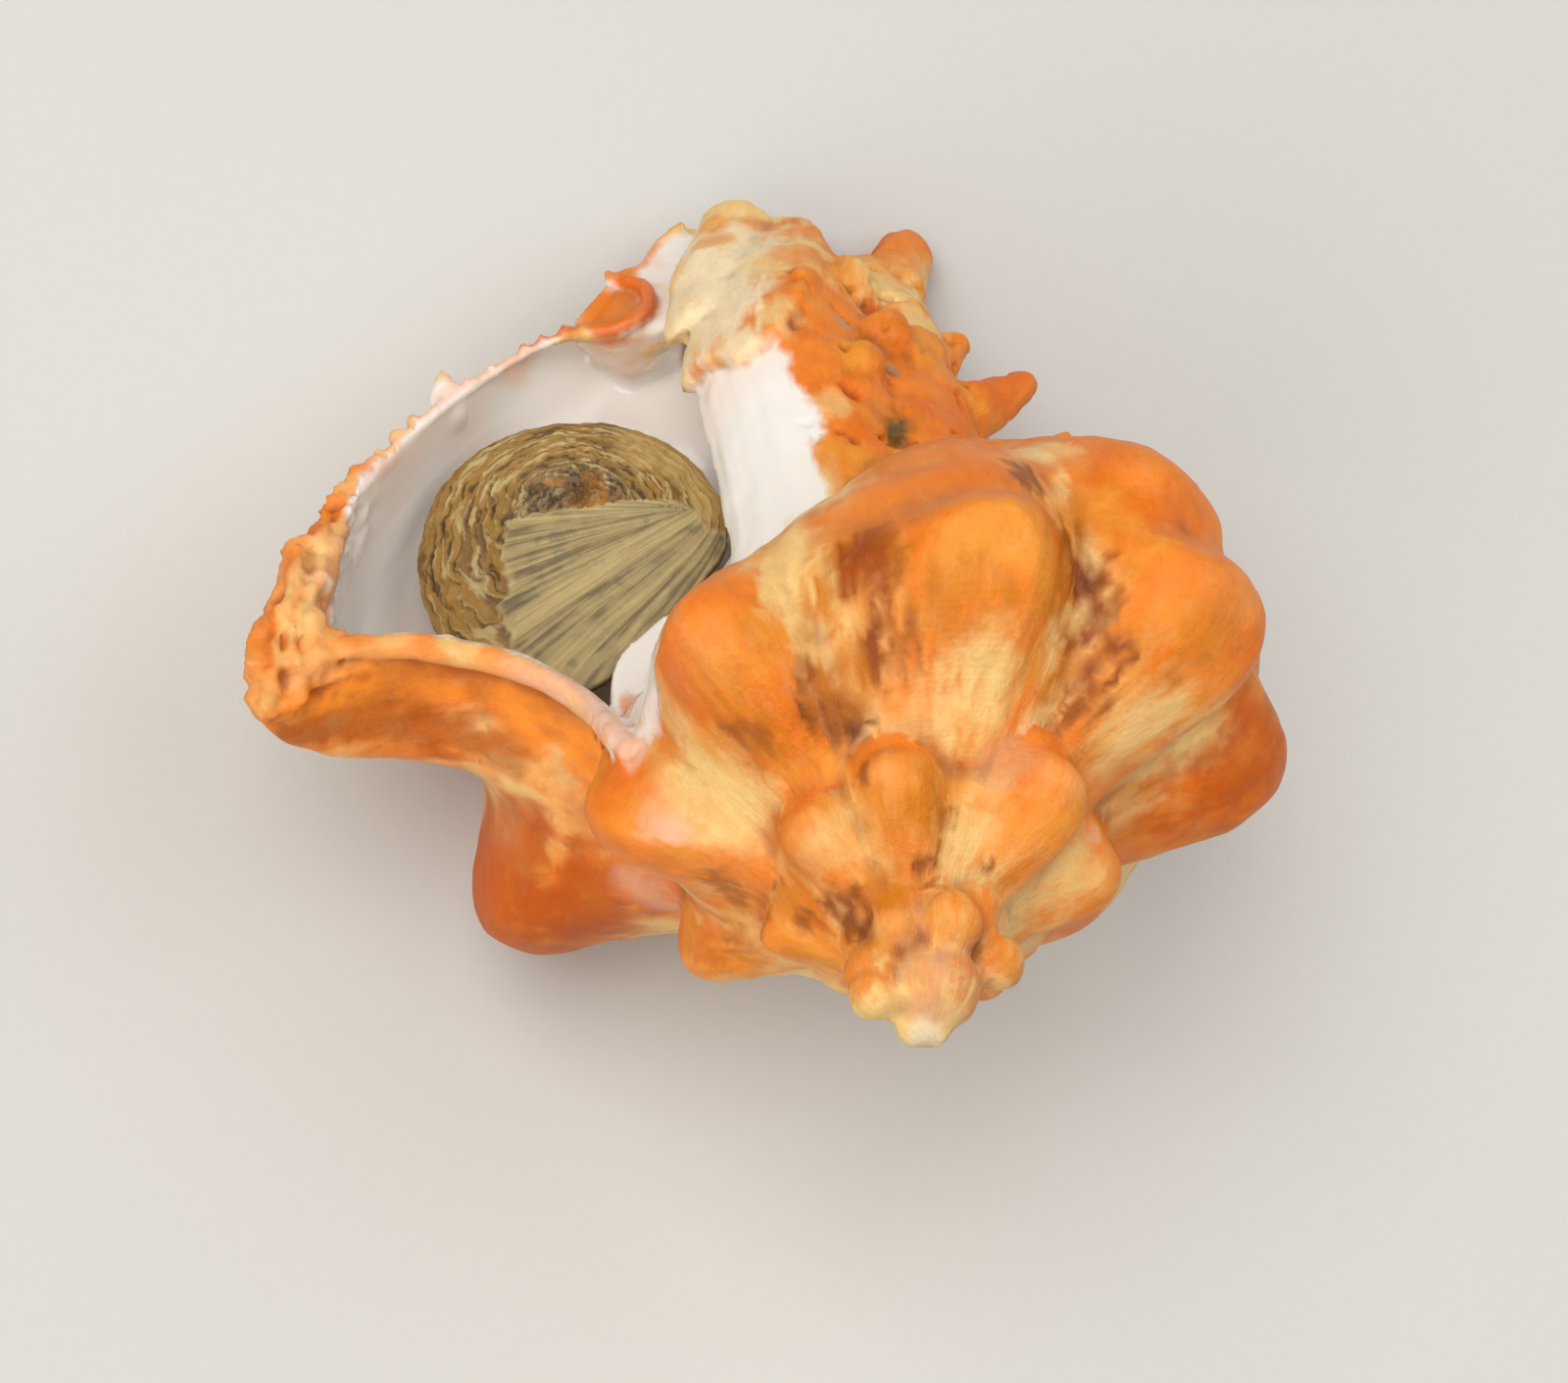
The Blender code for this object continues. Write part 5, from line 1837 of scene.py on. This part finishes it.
@dataclass
class Operculum:
    """The horny plate that closes the mouth.

    Places on it are (toward the outer lip, toward the apex) from its centre, in mm.

    Attributes:
        centre, faces: its middle in the growing frame, and where its outer face looks.
        outline, nucleus: places round its margin, and the place about which it grew.
        plain_sides, plain_rings: sides of the plain plate, and (share of outline, height) rings.
        fan_corner, fan_edge: place from which straight lines spread, and outline of their fan.
        fan_turns: degrees past which the lines curve, and mm over which they straighten.
        golden_side: line along which the layers are golden.
    """

    centre: Point = (24.1, 1.1, -54.4)
    faces: Point = (0.115, -0.981, 0.157)
    outline: tuple = ((12.2, 0.0), (11.8, -5.0), (9.9, -9.8), (6.2, -13.2), (0.8, -14.4),
                      (-5.0, -13.0), (-9.8, -9.4), (-12.9, -4.0), (-13.2, 1.4), (-10.6, 5.4),
                      (-7.4, 8.6), (-4.2, 12.0), (-0.4, 13.8), (4.2, 12.4), (8.4, 9.4),
                      (11.1, 5.2))
    plain_sides: int = 48
    plain_rings: tuple = ((0.02, -0.6), (0.5, -0.8), (0.93, -0.9), (1.0, -0.2), (0.97, 0.5),
                          (0.6, 1.0), (0.02, 1.2))
    nucleus: tuple = (-1.4, -6.2)
    sides: int = 460
    rings: int = 170
    lamellae: float = 19.0
    lamella_height: float = 0.30
    fan_corner: tuple = (-10.8, -2.1)
    fan_edge: tuple = ((-10.8, -2.3), (-8.9, -3.5), (-6.2, -4.0), (-2.8, -4.3), (0.7, -4.5),
                       (4.5, -4.3), (4.8, -2.2), (5.5, -0.6), (4.9, 1.6), (4.9, 3.4), (5.8, 4.4),
                       (4.8, 7.2), (5.2, 8.4), (3.6, 10.0), (3.4, 15.0), (-16.0, 15.0),
                       (-16.0, 2.0), (-12.4, 0.4))
    fan_height: float = 0.22
    fan_turns: tuple = (25.0, 9.0)
    golden_side: tuple = ((-7.6, -10.0), (-11.0, -7.6), (-12.6, -3.0))
    pit_depth: float = 0.35

    def axes(self) -> Array:
        """The plate's own axes: toward the lip, toward the apex, outward."""
        out = Vector(self.faces).normalized()
        up = (Vector((0, 0, 1)) - out * out.z).normalized()
        return np.array([up.cross(out), up, out])

    def placed(self, flat: Array, lift: Array) -> Array:
        """Places in mm of points on the plate at heights over its plane."""
        return self.centre + np.column_stack([flat, lift]) @ self.axes()

    def plain(self) -> Array:
        """Corners of the plain plate in the fixed frame's model."""
        around = spline(self.outline, self.plain_sides, closed=True)
        return np.concatenate([self.placed(around * share, np.full(len(around), lift))
                               for share, lift in self.plain_rings])

    def in_fan(self, flat: Array) -> Array:
        """How far inside the fan of straight lines points lie.

        Args:
            flat: points on the plate.

        Returns:
            The distance in mm to the fan's edge for each, below 0 outside it.
        """
        edge = np.array(self.fan_edge)
        after = np.roll(edge, -1, axis=0)
        best = np.full(len(flat), 1e9)
        inside = np.zeros(len(flat), bool)
        for a, b in zip(edge, after):
            run = b - a
            f = np.clip(((flat - a) @ run) / (run @ run), 0, 1)
            best = np.minimum(best, np.linalg.norm(flat - a - f[:, None] * run, axis=1))
            crosses = (a[1] > flat[:, 1]) != (b[1] > flat[:, 1])
            side = a[0] + (flat[:, 1] - a[1]) / (run[1] if run[1] else 1e-9) * run[0]
            inside ^= crosses & (flat[:, 0] < side)
        return np.where(inside, best, -best)

    def beside(self, flat: Array, line: tuple) -> Array:
        """Distance in mm of points on the plate from a line through places on it."""
        dense = spline(line, 30)
        return np.linalg.norm(flat[:, None] - dense[None], axis=2).min(axis=1)

    def layers(self, flat: Array, share: Array, rough: Array,
               pit: Array) -> tuple:
        """The flaking layers that ring the nucleus.

        Args:
            flat: points on the plate.
            share: how far each is from the nucleus to the margin, 0 to 1.
            rough: fine noise at each.
            pit: how far each lies in the pit, 0 to 1.

        Returns:
            Heights in mm, and colours.
        """
        solid = np.column_stack([flat, np.zeros(len(flat))])
        broad = cloud(solid, 5.0, 52, 3)
        level = (share + 0.060 * broad + 0.034 * rough) * self.lamellae
        layer = np.floor(level)
        step = level - layer
        flake = scatter(np.column_stack([layer, layer * 0, layer * 0]).astype(int), 5)
        broken = ease(cloud(solid + layer[:, None] * 7.7, 2.4, 71, 3), -0.5, 0.3)
        around = np.arctan2(*(flat - np.array(self.nucleus)).T[::-1])
        ring_way = np.column_stack([np.cos(around), np.sin(around), level * 0.16])
        flaky = cloud(ring_way * np.array((3.4, 3.4, 4.5)), 1.0, 53, 4)
        chips = cloud(ring_way * np.array((7.0, 7.0, 12.0)), 1.0, 54, 3)
        flecks = flaky + 0.7 * chips
        height = (self.lamella_height * (step ** 1.6) * (0.35 + 0.65 * broken) + 0.10 * rough
                  + 0.26 * flaky + 0.16 * chips)
        by_side = self.beside(flat, self.golden_side) + 1.2 * rough
        middle = ease(share + 0.12 * flaky, 0.52, 0.20)
        return height, coated(HornTint.GOLD, (
            (HornTint.UMBER, ease(0.6 * flake + flaky + 0.5 * broad, 0.25, 0.75)),
            (HornTint.PALE, ease(step + 0.8 * flaky, 0.75, 1.05) * broken * 0.8),
            (HornTint.DARK, ease(step + 0.5 * chips, 0.22, 0.0) * (0.3 + 0.6 * broken)),
            (HornTint.PALE, ease(flecks, 0.18, 0.50) * 0.75),
            (HornTint.DARK, ease(flecks, -0.24, -0.52) * 0.85),
            (HornTint.GOLDEN, 0.8 * ease(by_side, 3.0, 1.6)),
            (HornTint.GREY, middle * (0.55 + 0.35 * ease(chips, 0.1, -0.2))),
            (HornTint.DARK, middle * 0.8 * ease(flaky + chips, -0.02, -0.30)),
            (HornTint.PALE, middle * 0.7 * ease(flaky + 0.6 * chips, 0.15, 0.40)),
            (HornTint.AMBER, (0.8 * ease(share + 0.1 * rough, 0.40, 0.16)
                              * ease(cloud(solid, 1.5, 93, 2), 0.05, 0.4))),
            (HornTint.DARK, pit * 0.6),
            (HornTint.MARGIN, ease(share, 0.90, 1.0) * 0.5)))

    def straight_lines(self, flat: Array, inside: Array, rough: Array) -> tuple:
        """The fan of straight lines.

        Args:
            flat: points on the plate.
            inside: how far in mm each lies inside the fan.
            rough: fine noise at each.

        Returns:
            Heights in mm, colours, and the lines from about -1 to 1.
        """
        solid = np.column_stack([flat, np.zeros(len(flat))])
        offset = flat - np.array(self.fan_corner)
        reach = np.hypot(offset[:, 0], offset[:, 1])
        angle = np.arctan2(offset[:, 1], offset[:, 0])
        straight, fades = math.radians(self.fan_turns[0]), self.fan_turns[1]
        angle = angle - np.maximum(angle - straight, 0) * np.exp(-reach / fades)
        striae = cloud(np.column_stack([angle * 30, reach * 0.10, reach * 0]), 1.0, 81, 4)
        hairs = cloud(np.column_stack([angle * 84, reach * 0.24, reach * 0]), 1.0, 83, 2)
        bands = cloud(np.column_stack([angle * 9, reach * 0.05, reach * 0]), 1.0, 82, 2)
        grain = 0.55 * striae + 0.40 * hairs + 0.35 * bands
        height = self.fan_height + 0.20 * striae + 0.10 * hairs + 0.14 * bands + 0.05 * rough
        coats = (
            (HornTint.OLIVE, ease(grain + 0.2 * rough, 0.02, 0.42) * 0.85),
            (HornTint.PALE, ease(grain + 0.2 * rough, -0.02, -0.36) * 0.65),
            (HornTint.GREY, ease(cloud(solid, 1.4, 95, 4) + 0.5 * grain, 0.24, 0.6) * 0.45),
            (HornTint.PALE, ease(inside, 0.7, 0.05) * 0.6))
        return height, coated(HornTint.TAN, coats), striae

    def face(self, flat: Array, share: Array) -> tuple:
        """Height, colour and roughening of the outer face.

        Args:
            flat: points on the plate.
            share: how far each is from the nucleus to the margin, 0 to 1.

        Returns:
            Heights in mm, colours, and a fibre value from 0 to 1.
        """
        solid = np.column_stack([flat, np.zeros(len(flat))])
        rough = cloud(solid, 1.3, 51, 4)
        wander = np.column_stack([cloud(solid, 1.1, seed, 3) for seed in (61, 62)])
        inside = self.in_fan(flat + 0.55 * wander)
        fan = ease(inside, -0.25, 0.25)
        pit = ease(np.hypot(*(flat - np.array(self.nucleus)).T), 2.6, 0.6)
        ring_height, ring = self.layers(flat, share, rough, pit)
        fan_height, lines, striae = self.straight_lines(flat, inside, rough)
        height = ring_height * (1 - fan) + fan_height * fan - self.pit_depth * pit * (1 - fan)
        colour = ring * (1 - fan[:, None]) + lines * fan[:, None]
        return height, colour, np.clip(0.5 + 0.5 * striae * fan + 0.4 * rough * (1 - fan), 0, 1)

    def build(self) -> Thing:
        """The plate in the growing frame, shaped and coloured."""
        around = spline(self.outline, self.sides, closed=True)
        margin = np.column_stack([around, np.zeros(len(around))])
        nick = 1 + 0.012 * cloud(margin, 1.6, 15, 3) + 0.008 * cloud(margin, 0.7, 16, 2)
        around = around * nick[:, None]
        middle = np.array(self.nucleus)
        shares = np.linspace(0.006, 1.0, self.rings) ** 0.85
        flat = np.concatenate([middle + (around - middle) * share for share in shares])
        share = np.repeat(shares, len(around))
        top_of = [place for place in self.plain_rings if place[1] > 0][::-1]
        base = np.interp(share, [row[0] for row in top_of], [row[1] for row in top_of])
        height, colour, fibre = self.face(flat, share)
        height = base + height * ease(share, 1.0, 0.94)
        top = self.placed(flat, height).reshape(self.rings, len(around), 3)
        under = [self.placed(around * size, np.full(len(around), lift))
                 for size, lift in self.plain_rings[3::-1]]
        rings = np.concatenate([top, np.array(under)])
        hidden = len(under) * len(around)
        colours = np.concatenate([colour, np.tile(HornTint.BACK.linear(), (hidden, 1))])
        fibres = np.concatenate([fibre, np.full(hidden, 0.5)])
        plate = loft("operculum_plate", rings)
        _, near = nearest(rings.reshape(-1, 3), corners(plate))
        mark(plate, "paint", colours[near])
        mark(plate, "fibre", fibres[near])
        return plate


@dataclass(frozen=True)
class Lamp:
    """A square soft light: metres right, up and back to it, its side in metres, watts and colour."""

    name: str
    stands: Point
    size: float
    power: float
    colour: Rgb


@dataclass
class Studio:
    """Floor, soft lights and camera.

    Attributes:
        view_roll, view_tilt: degrees by which the camera is turned from looking along the axis.
        distance, sideways, upward: where it is in mm from the apex, in its own directions.
        lens, film: its focal length and the width of its film, in mm.
        aim: the place that the lamps face, in metres.
    """

    floor_side: float = 4.0
    view_roll: float = 5.5
    view_tilt: float = 44.0
    distance: float = 280.0
    sideways: float = 9.8
    upward: float = -23.835
    lens: float = 90.0
    film: float = 36.0
    nearest_seen: float = 0.01
    lamps: tuple = (
        Lamp("key_light", (-0.16, 0.30, 0.78), 0.60, 4.9, (1.0, 0.98, 0.95)),
        Lamp("front_light", (-0.30, -0.34, 0.68), 0.60, 2.8, (1.0, 0.98, 0.95)),
        Lamp("fill_light", (0.62, 0.30, 0.50), 0.80, 3.1, (0.97, 0.98, 1.0)))
    aim: Point = (0.0, 0.0, 0.03)
    sky: Rgb = (0.86, 0.87, 0.88)
    sky_strength: float = 0.34

    def view(self) -> Array:
        """Right, up and toward-the-camera directions in the growing frame, one a row."""
        tilt, roll = math.radians(self.view_tilt), math.radians(self.view_roll)
        level = np.array([[-1, 0, 0], [0, -math.cos(tilt), -math.sin(tilt)],
                          [0, -math.sin(tilt), math.cos(tilt)]])
        rolled = np.array([[math.cos(roll), -math.sin(roll), 0],
                           [math.sin(roll), math.cos(roll), 0], [0, 0, 1]])
        return rolled @ level

    def camera(self, turn: Array, origin: Array) -> Thing:
        """Camera that looks into the mouth from over the apex.

        Args:
            turn: the growing frame's rotation.
            origin: its origin in mm.

        Returns:
            The camera.
        """
        view = self.view()
        place = -(view.T @ np.array((self.sideways, self.upward, -self.distance)))
        world = turn @ place + origin
        bpy.ops.object.camera_add(location=world * MM)
        camera = bpy.context.object
        camera.name = "camera"
        camera.matrix_world = (Matrix.Translation(Vector(world * MM))
                               @ Matrix((turn @ view.T).tolist()).to_4x4())
        camera.data.lens = self.lens
        camera.data.sensor_width = self.film
        camera.data.clip_start = self.nearest_seen
        bpy.context.scene.camera = camera
        return camera

    def light(self, lamp: Lamp, ways: Matrix) -> None:
        """Put up one soft light that faces the shell.

        Args:
            lamp: what it is like.
            ways: the camera's right, up and back directions.
        """
        place = ways @ Vector(lamp.stands)
        bpy.ops.object.light_add(type="AREA", location=place)
        light = bpy.context.object
        light.name = lamp.name
        light.rotation_euler = (Vector(self.aim) - place).to_track_quat("-Z", "Y").to_euler()
        light.data.size = lamp.size
        light.data.energy = lamp.power
        light.data.color = lamp.colour

    def build(self, turn: Array, origin: Array) -> None:
        """Put up the floor, the lights and the camera.

        Args:
            turn: the growing frame's rotation.
            origin: its origin in mm.
        """
        bpy.ops.mesh.primitive_plane_add(size=self.floor_side, location=(0, 0, 0))
        floor = bpy.context.object
        floor.name = "floor"
        floor.data.materials.append(FloorFinish().make())
        ways = self.camera(turn, origin).matrix_world.to_3x3()
        for lamp in self.lamps:
            self.light(lamp, ways)
        world = bpy.data.worlds.new("studio_air")
        bpy.context.scene.world = world
        world.use_nodes = True
        air = world.node_tree.nodes["Background"]
        air.inputs["Color"].default_value = (*linear(self.sky), 1)
        air.inputs["Strength"].default_value = self.sky_strength
        bpy.context.scene.view_settings.view_transform = "Standard"


def softened(gap: Array, hard: float = 30.0) -> Array:
    """A gap that never falls below 0, and that is left alone where it is wide."""
    return np.where(gap > hard, gap, np.log1p(np.exp(np.minimum(gap, hard))))


def settle(thing: Thing, turn: Array, origin: Array, skin: float = 0.12) -> None:
    """Lay a piece down in the world, inside the fixed frame's box and flat where it rests.

    Args:
        thing: the piece, in the growing frame.
        turn: the growing frame's rotation.
        origin: its origin in mm.
        skin: softness in mm with which it keeps inside the box.
    """
    places = corners(thing) @ turn.T + origin
    low, high = (np.array(side) / MM for side in CAD_BOX)
    places = high - skin * softened((high - places) / skin)
    places[:, :2] = low[:2] + skin * softened((places[:, :2] - low[:2]) / skin)
    places[:, 2] = np.maximum(places[:, 2], low[2])
    put_corners(thing, places)


def main() -> None:
    """Build the shell, its operculum and the studio."""
    rest, plate, shell = Rest(), Operculum(), Shell()
    turn = rest.turn()
    origin = rest.place((plate.plain() @ turn.T).min(axis=0))
    grain, marks = grain_group(), growth_group(shell.whorl.growth_per_whorl)
    made = ((shell.build(), "shell", LimeFinish().make(turn, origin, grain, marks)),
            (plate.build(), "operculum", HornFinish().make(grain)))
    for piece, node, finish in made:
        settle(piece, turn, origin)
        piece.data.materials.clear()
        piece.data.materials.append(finish)
        piece.data.shade_smooth()
        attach(piece, "root")
        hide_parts(node)
        log.info("%s: %d corners, %d faces", piece.name, len(piece.data.vertices),
                 len(piece.data.polygons))
    Studio().build(turn, origin)


if __name__ == "__main__":
    logging.basicConfig(level=logging.INFO, format="%(message)s")
    main()
